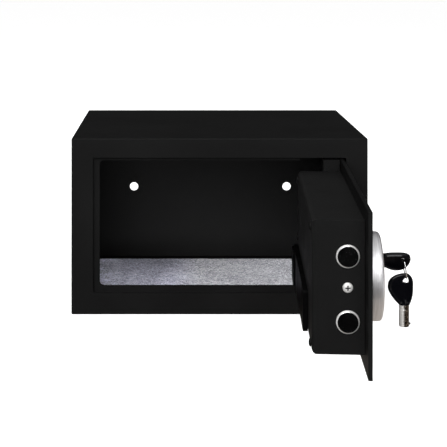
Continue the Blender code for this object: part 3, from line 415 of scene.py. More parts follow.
def box(name, lo, hi, pick=None, r=0.0, seg=3):
    """Box between two closed-door corners; pick(edge, size) chooses edges to round."""
    lo, hi = Vector(lo), Vector(hi)
    size = hi - lo
    bm = bmesh.new()
    bmesh.ops.create_cube(bm, size=1.0)
    bmesh.ops.scale(bm, vec=size, verts=bm.verts)
    if pick:
        edges = [e for e in bm.edges if pick(e, size)]
        bmesh.ops.bevel(bm, geom=edges, offset=r, segments=seg, profile=0.5, affect="EDGES")
    mid = (lo + hi) / 2
    bmesh.ops.translate(bm, vec=mid, verts=bm.verts)
    return closed(name, bm)


def closed(name, bm, smooth=None):
    """Millimetres from the front plane become metres in the row frame."""
    for v in bm.verts:
        v.co = P(*v.co)
    return new_ob(name, bm, smooth)


def axis_edges(axis):
    def pick(e, size):
        d = e.verts[1].co - e.verts[0].co
        return d.length > 0 and abs(d[axis]) > 0.99 * d.length and abs(d[axis]) > 0.5 * size[axis]
    return pick


def rod(name, axis, at, r, a, b, seg=64, r2=None):
    bm = bmesh.new()
    bmesh.ops.create_cone(bm, cap_ends=True, segments=seg, radius1=r,
                          radius2=r if r2 is None else r2, depth=b - a)
    turn = {0: Matrix.Rotation(math.pi / 2, 4, "Y"), 1: Matrix.Rotation(-math.pi / 2, 4, "X"),
            2: Matrix.Identity(4)}[axis]
    bmesh.ops.transform(bm, matrix=turn, verts=bm.verts)
    mid = list(at)
    mid[axis] = (a + b) / 2
    bmesh.ops.translate(bm, vec=mid, verts=bm.verts)
    return closed(name, bm)


def lathe(name, profile, at, toward, seg=96, closed_ring=False, smooth=35.0):
    """Turns (radius, depth) points about an axis that starts at `at` and runs
    along `toward`; all in closed-door millimetres."""
    axis = Vector(toward).normalized()
    side = axis.orthogonal().normalized()
    other = axis.cross(side)
    bm = bmesh.new()
    at = Vector(at)
    rings = []
    for r, d in profile:
        if r < 1e-6:
            rings.append([bm.verts.new(at + axis * d)])
        else:
            rings.append([bm.verts.new(at + axis * d + (side * math.cos(t) + other * math.sin(t)) * r)
                          for t in (2 * math.pi * i / seg for i in range(seg))])
    pairs = list(zip(rings, rings[1:]))
    if closed_ring:
        pairs.append((rings[-1], rings[0]))
    for a, b in pairs:
        for i in range(seg):
            j = (i + 1) % seg
            if len(a) == 1 and len(b) == 1:
                continue
            if len(a) == 1:
                bm.faces.new((a[0], b[i], b[j]))
            elif len(b) == 1:
                bm.faces.new((a[i], b[0], a[j]))
            else:
                bm.faces.new((a[i], b[i], b[j], a[j]))
    bmesh.ops.recalc_face_normals(bm, faces=bm.faces)
    ob = closed(name, bm, smooth)
    return ob


def apply(ob):
    """Makes every modifier real and leaves a plain mesh."""
    bpy.context.view_layer.update()
    dg = bpy.context.evaluated_depsgraph_get()
    me = bpy.data.meshes.new_from_object(ob.evaluated_get(dg), preserve_all_data_layers=True,
                                         depsgraph=dg)
    ob.modifiers.clear()
    old = ob.data
    ob.data = me
    me.name = ob.name
    bpy.data.meshes.remove(old)
    return ob


def boolean(ob, kind, tools, solver="EXACT"):
    for t in tools:
        m = ob.modifiers.new("b", "BOOLEAN")
        m.operation = kind
        m.solver = solver
        m.object = t
        apply(ob)
        bpy.data.objects.remove(t, do_unlink=True)
    return ob


def cut(ob, *tools):
    return boolean(ob, "DIFFERENCE", tools)


def join(ob, *tools):
    return boolean(ob, "UNION", tools)


def soften(ob, width, seg=2, angle=40.0, smooth=35.0):
    """Rounds every sharp edge, then shades so that flat faces stay flat."""
    bm = bmesh.new()
    bm.from_mesh(ob.data)
    bmesh.ops.remove_doubles(bm, verts=bm.verts, dist=2e-6)
    bmesh.ops.dissolve_limit(bm, angle_limit=math.radians(0.8), verts=bm.verts, edges=bm.edges)
    bm.to_mesh(ob.data)
    bm.free()
    m = ob.modifiers.new("edges", "BEVEL")
    m.width = width * MM
    m.segments = seg
    m.limit_method = "ANGLE"
    m.angle_limit = math.radians(angle)
    m.use_clamp_overlap = True
    m.miter_outer = "MITER_SHARP"
    apply(ob)
    weigh(ob, smooth)
    return ob


def weigh(ob, smooth=35.0):
    ob.data.shade_smooth()
    ob.data.set_sharp_from_angle(angle=math.radians(smooth))
    w = ob.modifiers.new("even", "WEIGHTED_NORMAL")
    w.keep_sharp = True
    w.weight = 60
    return ob


def to_door(*obs):
    for ob in obs:
        ob.data.transform(DOOR_M)
        ob.data.update()


def paint(ob, *mats):
    ob.data.materials.clear()
    for m in mats:
        ob.data.materials.append(m)
    return ob


def two_tone(ob, *mats):
    """Paints without losing which faces take the second material."""
    keep = [f.material_index for f in ob.data.polygons]
    paint(ob, *mats)
    ob.data.polygons.foreach_set("material_index", keep)
    return ob


def stand(ob, mat, body, slot, *nodes, door=True):
    """Finish a visual piece: place, paint, ride, and hide the nodes it stands for."""
    if door:
        to_door(ob)
    if mat is not None:
        paint(ob, mat)
    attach(ob, body)
    if nodes:
        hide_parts(*nodes)
    return ob


# ------------------------------------------------------------------ dimensions of the parts (mm)
W, D, H = 340.0, 245.0, 202.0
SHEET = 2.0
OL, OR_, OB, OT = -145.0, 145.0, 25.0, 179.5
SL, SB, ST, SEND = -137.7, 32.3, 175.7, 93.0
HX, HY = 134.0, 9.0
DISC = (-76.0, 102.0)
LOCK = (-76.0, 118.0)
FACE = -12.0
BOLT_Z = {"bottom": 71.5, "top": 132.0}

COAT = powder_coat()
# painted light: the back panel takes a lighter copy of the same black powder coat, for its shaded place inside
COAT_INSIDE_LIT = powder_coat("powder_coat_inside_lit", 0.0083, 0.6, 0.05)
COAT_DOOR = powder_coat("powder_coat_door", 0.0054, 0.55, 0.05)


# ================================================================== body
def body_pieces():
    def rim(e, size):
        a, b = e.verts[0].co, e.verts[1].co
        return (a.y < 0 and b.y < 0) or abs(b.y - a.y) > 0.5 * size.y

    shell = box("safe_body_shell", (-W / 2, 0, 0), (W / 2, D, H), rim, 1.6, 5)
    cut(shell,
        box("t", (-W / 2 + SHEET, SHEET, SHEET), (W / 2 - SHEET, D + 5, H - SHEET), axis_edges(1), 1.6, 4),
        box("t", (OL, -5, OB), (OR_, SHEET + 5, OT), axis_edges(1), 1.5, 4))
    soften(shell, 0.45, 3)
    stand(shell, COAT, "safe_body", "powder_coat", "body_shell", door=False)

    back = box("safe_back_panel", (-W / 2 + SHEET + 0.3, D - SHEET, SHEET + 0.3),
               (W / 2 - SHEET - 0.3, D, H - SHEET - 0.3), axis_edges(1), 1.4, 3)
    for x in (-107.4, 101.4):
        cut(back, rod("t", 1, (x, 0, 97.8), 5.7, D - 8, D + 5, 64))
    soften(back, 0.3, 2)
    stand(back, COAT_INSIDE_LIT, "safe_body", "powder_coat", "back_panel", door=False)

    stop = box("stepped_door_stop", (OL - 5, 5, OB - 5), (SEND, 7, OT + 5))
    wall = box("t", (OL - 2.5, SHEET + 0.3, OB - 2.5), (SEND - 4, 6, OT + 2.5))
    cut(wall, box("t2", (OL - 0.5, -5, OB - 0.5), (SEND + 20, 10, OT + 0.5), axis_edges(1), 1.5, 4))
    join(stop, wall)
    cut(stop, box("t", (SL, -5, SB), (SEND + 40, 15, ST), axis_edges(1), 5.0, 8))
    soften(stop, 0.4, 3)
    stand(stop, COAT, "safe_body", "powder_coat", "door_stop_frame", door=False)


# ================================================================== felt mat
def mat_piece():
    lo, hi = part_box("floor_mat")
    nx, ny = 210, 142
    bm = bmesh.new()
    top, bot = [], []
    for j in range(ny + 1):
        row_t, row_b = [], []
        for i in range(nx + 1):
            u, v = i / nx, j / ny
            x = lo.x + (hi.x - lo.x) * u
            y = lo.y + (hi.y - lo.y) * v
            edge = min(u * (hi.x - lo.x), (1 - u) * (hi.x - lo.x), v * (hi.y - lo.y), (1 - v) * (hi.y - lo.y))
            drop = 0.7 * MM * max(0.0, 1 - edge / (2.2 * MM)) ** 2
            p = Vector((x, y, 0.0))
            lump = noise.noise(p * 700.0) * 0.16 + noise.noise(p * 260.0) * 0.14 + noise.noise(p * 40.0) * 0.12
            if 0 < i < nx and 0 < j < ny:
                x += noise.noise(p * 500.0 + Vector((7, 3, 1))) * 0.25 * MM
                y += noise.noise(p * 500.0 + Vector((1, 9, 4))) * 0.25 * MM
            row_t.append(bm.verts.new((x, y, hi.z - 0.15 * MM + lump * MM - drop)))
            row_b.append(bm.verts.new((x, y, lo.z)) if i in (0, nx) or j in (0, ny) else None)
        top.append(row_t)
        bot.append(row_b)
    for j in range(ny):
        for i in range(nx):
            bm.faces.new((top[j][i], top[j][i + 1], top[j + 1][i + 1], top[j + 1][i]))
    ring = ([(0, i) for i in range(nx)] + [(j, nx) for j in range(ny)]
            + [(ny, i) for i in range(nx, 0, -1)] + [(j, 0) for j in range(ny, 0, -1)])
    for a, b in zip(ring, ring[1:] + ring[:1]):
        bm.faces.new((top[a[0]][a[1]], bot[a[0]][a[1]], bot[b[0]][b[1]], top[b[0]][b[1]]))
    bm.faces.new([bot[j][i] for j, i in reversed(ring)])
    bmesh.ops.recalc_face_normals(bm, faces=bm.faces)
    ob = new_ob("felt_floor_mat", bm)
    ob.data.shade_smooth()
    ob.data.set_sharp_from_angle(angle=math.radians(60))
    stand(ob, felt(), "safe_body", "felt", "floor_mat", door=False)


# ================================================================== door
def door_pieces():
    posts = ((-110.0, 48.5), (-110.0, 157.0), (110.0, 92.0), (110.0, 157.0))

    def hinge_front(e, size):
        a, b = e.verts[0].co, e.verts[1].co
        return a.x > 0 and b.x > 0 and a.y < 0 and b.y < 0

    plate = box("door_front_plate", (-144, 0, 26), (143.7, 4, 178), hinge_front, 2.0, 1)
    cut(plate, rod("t", 1, (LOCK[0], 0, LOCK[1]), 8.3, -3, 9, 48),
        rod("t", 1, (-50, 0, 90), 4.0, -3, 9, 32))
    for x, z in posts:
        join(plate, rod("t", 1, (x, 0, z), 3.5, 3, 50.7, 32))
        cut(plate, rod("t", 1, (x, 0, z), 2.3, 38, 53, 24))
    join(plate, box("t", (-118.2, 3, 96), (-115.2, 26, 110), axis_edges(0), 2.0, 3))
    cut(plate, rod("t", 0, (0, 20, 103), 2.3, -125, -110, 24))
    soften(plate, 0.55, 3)
    stand(plate, COAT_DOOR, "door", "powder_coat", "door_plate")

    ch = box("hinge_channel_pan", (122, 4.3, 26.5), (141, 24, 177.5), axis_edges(2), 1.6, 4)
    cut(ch, box("t", (123.6, 2, 28.5), (139.4, 22.4, 175.5)),
        rod("t", 2, (HX, HY, 0), 4.3, 10, 195, 40))
    soften(ch, 0.35, 2)
    stand(ch, COAT_DOOR, "door", "powder_coat", "hinge_channel")

    def inner(e, size):
        a, b = e.verts[0].co, e.verts[1].co
        return a.y > 0 and b.y > 0

    cover = box("lock_box_pan", (-120, 4.3, 41), (120, 53, 165), inner, 4.5, 10)
    cut(cover, box("t", (-118.5, 1, 42.5), (118.5, 51.5, 163.5), inner, 3.0, 6),
        box("t", (-56, 45, 48.5), (106, 58, 80.5), axis_edges(1), 2.0, 4),
        rod("t", 0, (0, 20, 103), 2.3, -125, -115, 24),
        rod("t", 1, (60, 0, 122), 3.3, 45, 58, 40))
    for z in BOLT_Z.values():
        cut(cover, rod("t", 0, (0, 20, z), 11.4, -126, -115, 96))
    for x, z in posts:
        cut(cover, rod("t", 1, (x, 0, z), 2.3, 48, 56, 24))
    soften(cover, 0.5, 3, 50.0)
    stand(cover, COAT_DOOR, "door", "powder_coat", "lock_box_cover")


# ================================================================== bolts, screws
def bolt_pieces():
    axis = DOOR_M.to_3x3() @ Vector((1, 0, 0))
    for end, z in BOLT_Z.items():
        back = 60.7
        prof = [(0, 0), (9.5, 0), (9.62, 0.05), (9.74, 0.16), (10.72, 1.45), (10.92, 1.75), (11.0, 2.1),
                (11.0, back - 0.4), (10.6, back), (4.2, back), (4.0, back + 0.2), (4.0, back + 6), (3.7, back + 6.3), (0, back + 6.3)]
        b = lathe("chrome_bolt_" + end, prof, (-123, 20, z), (1, 0, 0), 128, smooth=28)
        centre = DOOR_M @ P(-123, 20, z)
        stand(b, None, "bolt_work", "chrome", "locking_bolt_" + end)
        # the end chamfer takes bright_rim, a painted highlight on the chrome bolt
        paint(b, turned_metal("bolt_chrome_" + end, tuple(centre), tuple(axis), (0.80, 0.80, 0.81), 0.05, 0.2), bright_rim())
        for f in b.data.polygons:
            d = (f.center - centre).dot(axis) / MM
            f.material_index = 1 if 0.03 < d < 1.9 else 0
            if d < 0.01:
                f.use_smooth = False

    # side screw: low dome head with a cross recess
    s = lathe("side_screw_head", [(0, 0), (1.5, 0.06), (2.8, 0.28), (3.8, 0.75), (4.45, 1.3), (4.7, 1.7), (4.8, 2.0),
                                  (2.1, 2.0), (2.0, 2.2), (2.0, 11.2), (0, 12.5)],
              (-122.3, 20, 103), (1, 0, 0), 72)
    phillips(s, (-122.3, 20, 103), (1, 0, 0), 2.7, 0.62, 1.7)
    weigh(s, 30)
    paint(s, bright_rim("screw_plating", 0.62, 0.5), zinc("screw_recess_shade", 0.05, 0.6, (1, 1, 1)))
    tip = P(-122.3, 20, 103)
    for f in s.data.polygons:                      # painted shade: the faces in the cross take a dark material
        off = (f.center - tip) / MM
        r = math.hypot(off.y, off.z)
        f.material_index = 1 if r < 3.2 and 0.10 + 0.036 * r * r + 0.06 < off.x < 1.9 else 0
    stand(s, None, "door", "chrome", "cover_side_screw")

    for i, (x, z) in enumerate(((-110.0, 48.5), (-110.0, 157.0), (110.0, 92.0), (110.0, 157.0)), 1):
        c = lathe("pan_screw_%d" % i, [(0, 0), (1.4, 0.05), (2.6, 0.3), (3.5, 0.85), (3.9, 1.5), (4.0, 2.0),
                                       (2.1, 2.0), (2.0, 2.2), (2.0, 13.0), (0, 14.0)],
                  (x, 55.3, z), (0, -1, 0), 56)
        phillips(c, (x, 55.3, z), (0, -1, 0), 2.0, 0.42, 1.2)
        weigh(c, 30)
        stand(c, plastic("black_oxide", (0.004, 0.004, 0.004), 0.5, 1400.0, 0.1, 0.12), "door", "powder_coat", "cover_screw_%d" % i)


def phillips(ob, at, toward, reach, half, depth):
    """Cuts a tapered cross recess into a screw head."""
    at, axis = Vector(at), Vector(toward).normalized()
    side = Vector((0, 0, 1)) if abs(axis.z) < 0.5 else Vector((1, 0, 0))
    other = axis.cross(side).normalized()
    for u, v in ((side, other), (other, side)):
        bm = bmesh.new()
        verts = []
        for d, k in ((-1.2, 1.25), (depth, 0.55)):
            for su, sv in ((-1, -1), (1, -1), (1, 1), (-1, 1)):
                verts.append(bm.verts.new(at + axis * d + u * (su * reach * k) + v * (sv * half * (0.7 + 0.3 * k))))
        bm.faces.new(verts[:4])
        bm.faces.new(list(reversed(verts[4:])))
        for i in range(4):
            j = (i + 1) % 4
            bm.faces.new((verts[i], verts[i + 4], verts[j + 4], verts[j]))
        bmesh.ops.recalc_face_normals(bm, faces=bm.faces)
        cut(ob, closed("t", bm))


# ================================================================== battery cover
def inner_pieces():
    lid = box("battery_door", (-66, 53.3, 43.2), (112, 58, 84), axis_edges(1), 3.0, 6)
    for x in (-45.0, 95.0):
        join(lid, box("t", (x - 4, 51.8, 78.4), (x + 4, 54, 80.1)))
    join(lid, box("t", (80, 56.5, 44.7), (110.5, 60.2, 82.5), axis_edges(1), 2.5, 4))
    for k in range(6):
        x = 85.0 + k * 4.0
        cut(lid, box("t", (x - 0.8, 59.3, 51), (x + 0.8, 63, 78), axis_edges(1), 0.7, 3))
    soften(lid, 0.45, 3, 45)
    stand(lid, plastic("battery_door_plastic", (0.0013, 0.0013, 0.0014), 0.5, 1800.0, 0.2, 0.035),
          "battery_lid", "black_plastic", "battery_cover")


# ================================================================== front disc
def front_pieces():
    cx, cz = DISC
    out = tuple(DOOR_M.to_3x3() @ Vector((0, 1, 0)))
    centre = tuple(DOOR_M @ P(cx, 0, cz))
    prof = [(38.6, -14.5), (39.6, -14.48), (40.3, -14.3), (40.85, -13.9), (41.2, -13.35), (41.4, -12.7), (41.5, -11.75),
            (41.38, -11.6), (41.38, -11.3), (41.56, -11.15), (41.6, -10.6), (41.6, -9.1), (41.5, -9.0), (41.5, -8.75), (41.6, -8.65), (41.6, -6.6), (41.5, -6.5), (41.5, -6.25), (41.6, -6.15),
            (41.6, -3.3),
            (41.52, -3.05), (41.3, -2.95), (41.25, -2.75), (41.45, -2.6), (41.8, -2.55), (41.98, -2.35), (42.0, -2.1),
            (42.0, -0.45), (41.85, -0.3), (34.5, -0.3), (34.5, -2.6),
            (38.0, -3.4), (38.0, -13.9), (38.15, -14.3)]
    ring = lathe("brushed_bezel", prof, (cx, 0, cz), (0, 1, 0), 192, closed_ring=True, smooth=30)
    stand(ring, turned_metal("bezel_metal", centre, out, (0.70, 0.695, 0.705), 0.45, 1.6), "door", "brushed_ring", "bezel_ring")

    # keypad face with its openings
    face = rod("keypad_face", 1, (cx, 0, cz), 37.6, FACE, -3.8, 160)
    cut(face, rod("t", 1, (cx, 0, cz), 35.6, FACE + 2.2, 2, 96),
        rod("t", 1, (LOCK[0], 0, LOCK[1]), 8.3, FACE - 4, 0, 64),
        box("t", (cx - 12, FACE - 3, cz + 27.2), (cx + 12, FACE + 5, cz + 32.8), axis_edges(1), 1.0, 4))
    # a shallow dished border round the lock
    cut(face, lathe("t", [(0, FACE - 1), (12.6, FACE - 1), (12.0, FACE + 0.5), (0, FACE + 0.5)],
                    (LOCK[0], 0, LOCK[1]), (0, 1, 0), 96))
    n = 0
    grid = []
    for dz in (1.0, -8.0, -17.0, -26.0):
        for dx in (-12.0, 0.0, 12.0):
            n += 1
            grid.append((n, cx + dx, cz + dz))
            x, z = cx + dx, cz + dz
            cut(face, box("t", (x - 5.0, FACE - 3, z - 3.5), (x + 5.0, FACE + 5, z + 3.5), axis_edges(1), 1.5, 4))
    soften(face, 0.3, 2, 50)
    stand(face, plastic("keypad_face_plastic", (0.010, 0.010, 0.011), 0.36, 2600.0, 0.1, 0.35), "door", "black_plastic",
          "keypad_plate")

    win = box("display_lens", (cx - 11.7, FACE + 0.3, cz + 27.5), (cx + 11.7, FACE + 2.0, cz + 32.5), axis_edges(1), 0.8, 4)
    soften(win, 0.25, 2)
    stand(win, smoked(), "door", "display_gloss", "display_window")

    labels = "123456789*0#"
    keycap = plastic("button_plastic", (0.030, 0.030, 0.032), 0.42, 2400.0, 0.12, 0.4)
    ink = print_paint()
    for n, x, z in grid:
        b = box("keycap_%d" % n, (x - 4.7, FACE - 1.5, z - 3.2), (x + 4.7, FACE + 3.5, z + 3.2), axis_edges(1), 1.3, 5)
        join(b, box("t", (x - 5.6, FACE + 2.6, z - 4.1), (x + 5.6, FACE + 4.0, z + 4.1)))
        soften(b, 0.45, 3, 45)
        stand(b, keycap, "key_%d" % n, "button_plastic", "button_%d" % n)
        digit(labels[n - 1], n, x, z, ink)

    # lock housing and plug face
    house = lathe("lock_housing", [(5.25, -13.55), (5.5, -13.8), (8.7, -13.8), (9.2, -13.6), (9.5, -13.2), (9.5, -12.45),
                                   (9.35, -12.3), (8.0, -12.3), (8.0, 8.0), (7.8, 8.2), (6.7, 8.2), (6.7, -11.8), (5.2, -11.8),
                                   (5.2, -13.5)],
                  (LOCK[0], 0, LOCK[1]), (0, 1, 0), 96, closed_ring=True)
    tilt = math.radians(40.0)
    slot = box("t", (-1.6, -20, -0.1), (1.6, -11, 6.9))
    turn = (Matrix.Translation(P(LOCK[0], 0, LOCK[1])) @ Matrix.Rotation(-tilt, 4, "Y")
            @ Matrix.Translation(-P(0, 0, 0)))
    slot.data.transform(turn)
    cut(house, slot)
    weigh(house, 30)
    stand(house, turned_metal("lock_metal", tuple(DOOR_M @ P(LOCK[0], 0, LOCK[1])), out, (0.78, 0.78, 0.79), 0.14, 0.4),
          "door", "chrome", "cam_lock_body")
    plug = lathe("lock_plug_core", [(0, -12.8), (2.6, -12.8), (3.0, -12.7), (3.2, -12.4), (3.2, 6.5), (6.4, 6.5), (6.4, 8.7),
                                    (2.8, 8.7), (2.8, 11.8), (2.5, 12.0), (0, 12.0)],
                 (LOCK[0], 0, LOCK[1]), (0, 1, 0), 64)
    for k in range(7):
        a = 2 * math.pi * k / 7 + 0.2
        cut(plug, rod("t", 1, (LOCK[0] + 3.15 * math.cos(a), 0, LOCK[1] + 3.15 * math.sin(a)), 0.55, -14, -9, 20))
    weigh(plug, 30)
    stand(plug, turned_metal("plug_metal", tuple(DOOR_M @ P(LOCK[0], 0, LOCK[1])), out, (0.72, 0.70, 0.66), 0.2, 0.4),
          "plug", "chrome", "lock_plug")


def digit(text, n, x, z, ink):
    """A figure printed on its button, raised 0.06 mm."""
    cu = bpy.data.curves.new("figure_%d" % n, "FONT")
    cu.body = text
    cu.size = 5.2 if text != "*" else 6.4
    cu.align_x = "CENTER"
    cu.align_y = "CENTER"
    cu.extrude = 0.03
    cu.resolution_u = 4
    ob = bpy.data.objects.new("figure_%d" % n, cu)
    bpy.context.scene.collection.objects.link(ob)
    bpy.context.view_layer.update()
    dg = bpy.context.evaluated_depsgraph_get()
    me = bpy.data.meshes.new_from_object(ob.evaluated_get(dg))
    bpy.data.objects.remove(ob, do_unlink=True)
    xs = [v.co.x for v in me.vertices]
    ys = [v.co.y for v in me.vertices]
    mx, my = (min(xs) + max(xs)) / 2, (min(ys) + max(ys)) / 2
    # text lies in XY facing +Z; on the door's outside it faces -y, reading left to right
    for v in me.vertices:
        v.co = P(x + v.co.x - mx, FACE - 1.5 - 0.03 - v.co.z, z + v.co.y - my)
    bm = bmesh.new()
    bm.from_mesh(me)
    bmesh.ops.remove_doubles(bm, verts=bm.verts, dist=1e-7)
    bmesh.ops.recalc_face_normals(bm, faces=bm.faces)
    bm.to_mesh(me)
    bm.free()
    me.name = "figure_%d" % n
    ob = bpy.data.objects.new("figure_%d" % n, me)
    bpy.context.scene.collection.objects.link(ob)
    stand(ob, ink, "key_%d" % n, "button_plastic")


# ================================================================== keys
BOW_BASE, BOW_LEN, BOW_TH = 14.4, 30.0, 5.0
BARREL_R, BARREL_IN, BARREL_LEN = 4.8, 3.6, 20.6


def bow_outline():
    pts = [(5.1, 0.0), (7.2, 5.4), (8.3, 10.8)]
    steps = 14
    for i in range(steps + 1):
        a = math.radians(90 * i / steps)
        pts.append((8.7 - 6.7 + 6.7 * math.cos(a), 20.4 + (BOW_LEN - 20.4) * math.sin(a)))
    for i in range(1, steps + 1):
        a = math.radians(90 + 85 * i / steps)
        pts.append((2.0 + (15.3 + 2.0) * math.cos(a), 19.0 + (BOW_LEN - 19.0) * math.sin(a)))
    pts += [(-15.5, 16.0), (-13.6, 10.8), (-9.7, 5.2), (-5.0, 0.0)]
    return resample(pts, 120)


def resample(pts, count):
    """Even spacing along a smooth curve through the outline's points; each
    point's direction is weighed by how far away its neighbours are."""
    n = len(pts)
    dense = []
    for i in range(n):
        p0, p1, p2, p3 = (Vector(pts[(i + k) % n]) for k in (-1, 0, 1, 2))
        d0, d1, d2 = (p1 - p0).length, (p2 - p1).length, (p3 - p2).length
        m1, m2 = (p2 - p0) * (d1 / (d0 + d1)), (p3 - p1) * (d1 / (d1 + d2))
        sharp = i == n - 1                      # the straight base between the two foot corners
        if i == 0:
            m1 = p2 - p1
        if i == n - 2:
            m2 = p2 - p1
        for s in range(12):
            t = s / 12
            if sharp:
                q = p1.lerp(p2, t)
            else:
                q = (p1 * (2 * t ** 3 - 3 * t * t + 1) + m1 * (t ** 3 - 2 * t * t + t)
                     + p2 * (3 * t * t - 2 * t ** 3) + m2 * (t ** 3 - t * t))
            dense.append(q)
    total = [0.0]
    for a, b in zip(dense, dense[1:] + dense[:1]):
        total.append(total[-1] + (b - a).length)
    out = []
    for k in range(count):
        want = total[-1] * k / count
        j = max(i for i in range(len(dense)) if total[i] <= want + 1e-9)
        a, b = dense[j], dense[(j + 1) % len(dense)]
        f = (want - total[j]) / max(1e-9, total[j + 1] - total[j])
        out.append(tuple(a.lerp(b, f)))
    return out


def key_mesh(tag, place):
    """Grip and barrel of one key.  Local frame: x across (short side +), y minus
    the distance out of the lock, z thickness; place() maps to world metres."""
    half = BOW_TH / 2
    shape = bow_outline()
    centre = Vector((-2.6, 16.5))
    # rings from one broad face to the other: rounded rim, then a dished field
    grip = bmesh.new()
    rings = []

    def ring_at(inset, z):
        loop = []
        n = len(shape)
        for i in range(n):
            p = Vector(shape[i])
            a, b = Vector(shape[i - 1]), Vector(shape[(i + 1) % n])
            t = (b - a).normalized()
            nrm = Vector((t.y, -t.x))
            if nrm.dot(p - centre) < 0:
                nrm = -nrm
            q = p - nrm * inset
            loop.append(grip.verts.new((q.x, -BOW_BASE - q.y, z)))
        return loop

    for inset, z in [(2.9, -half + 0.55), (2.5, -half + 0.5), (2.2, -half + 0.12), (1.9, -half), (1.0, -half + 0.02),
                     (0.45, -half + 0.28), (0.12, -half + 0.8), (0.0, -half + 1.5), (0.0, half - 1.5),
                     (0.12, half - 0.8), (0.45, half - 0.28), (1.0, half - 0.02), (1.9, half), (2.2, half - 0.12),
                     (2.5, half - 0.5), (2.9, half - 0.55)]:
        rings.append(ring_at(inset, z))
    for a, b in zip(rings, rings[1:]):
        for i in range(len(a)):
            j = (i + 1) % len(a)
            grip.faces.new((a[i], a[j], b[j], b[i]))
    grip.faces.new(list(reversed(rings[0])))
    grip.faces.new(rings[-1])
    bmesh.ops.recalc_face_normals(grip, faces=grip.faces)
    bmesh.ops.scale(grip, vec=(MM, MM, MM), verts=grip.verts)
    g = new_ob("key_grip_" + tag, grip)
    tools = []
    # ring eye: a rounded triangle
    bm = bmesh.new()
    eye = []
    for k in range(48):
        a = 2 * math.pi * k / 48
        r = 3.0 + 0.42 * math.cos(3 * (a - math.radians(75)))
        eye.append((1.8 + r * math.cos(a), 23.4 + r * math.sin(a)))
    lo = [bm.verts.new((x * MM, -(BOW_BASE + y) * MM, -4 * MM)) for x, y in eye]
    hi = [bm.verts.new((x * MM, -(BOW_BASE + y) * MM, 4 * MM)) for x, y in eye]
    bm.faces.new(lo)
    bm.faces.new(list(reversed(hi)))
    for i in range(48):
        j = (i + 1) % 48
        bm.faces.new((lo[i], hi[i], hi[j], lo[j]))
    bmesh.ops.recalc_face_normals(bm, faces=bm.faces)
    tools.append(new_ob("t", bm))
    # seat of the barrel in the foot of the grip
    bm = bmesh.new()
    bmesh.ops.create_cone(bm, cap_ends=True, segments=48, radius1=3.1 * MM, radius2=3.1 * MM, depth=9 * MM)
    bmesh.ops.transform(bm, matrix=Matrix.Rotation(math.pi / 2, 4, "X"), verts=bm.verts)
    bmesh.ops.translate(bm, vec=(0, (-BOW_BASE - 1.2) * MM, 0), verts=bm.verts)
    tools.append(new_ob("t", bm))
    cut(g, *tools)
    weigh(g, 32)
    for f in g.data.polygons:
        if abs(f.normal.z) > 0.9995:
            f.use_smooth = False

    # barrel: tube with a shoulder, a root boss that shows in the grip's foot, and a nib
    prof = [(0.0, -5.4), (2.2, -5.4), (2.75, -5.0), (2.9, -4.4), (2.9, -0.35), (4.5, -0.35), (4.8, -0.1), (4.8, 3.2), (4.55, 3.5),
            (4.55, 4.1), (4.8, 4.4), (4.8, BARREL_LEN - 0.35), (4.5, BARREL_LEN), (3.85, BARREL_LEN), (3.6, BARREL_LEN - 0.3),
            (3.6, 1.0), (0.0, 0.6)]
    bm = bmesh.new()
    seg = 96
    loops = []
    for r, d in prof:
        y = (-BOW_BASE + d) * MM
        if r < 1e-6:
            loops.append([bm.verts.new((0, y, 0))])
        else:
            loops.append([bm.verts.new((r * MM * math.cos(2 * math.pi * i / seg), y, r * MM * math.sin(2 * math.pi * i / seg)))
                          for i in range(seg)])
    for a, b in zip(loops, loops[1:]):
        for i in range(seg):
            j = (i + 1) % seg
            if len(a) == 1:
                bm.faces.new((a[0], b[i], b[j]))
            elif len(b) == 1:
                bm.faces.new((a[i], b[0], a[j]))
            else:
                bm.faces.new((a[i], b[i], b[j], a[j]))
    bmesh.ops.recalc_face_normals(bm, faces=bm.faces)
    barrel = new_ob("key_barrel_" + tag, bm, 30)
    nib = bmesh.new()
    bmesh.ops.create_cube(nib, size=1.0)
    bmesh.ops.scale(nib, vec=(2.0 * MM, 2.2 * MM, 2.2 * MM), verts=nib.verts)
    bmesh.ops.bevel(nib, geom=list(nib.edges), offset=0.3 * MM, segments=2, profile=0.5, affect="EDGES")
    bmesh.ops.translate(nib, vec=((BARREL_R + 0.3) * MM, (-BOW_BASE + BARREL_LEN - 2.5) * MM, 0), verts=nib.verts)
    join(barrel, new_ob("t", nib))
    weigh(barrel, 30)
    for f in barrel.data.polygons:                 # the boss in the grip's foot is moulded with the grip
        f.material_index = 1 if f.center.y < (-BOW_BASE - 0.2) * MM else 0
    for ob in (g, barrel):
        ob.data.transform(place)
        ob.data.update()
    return g, barrel


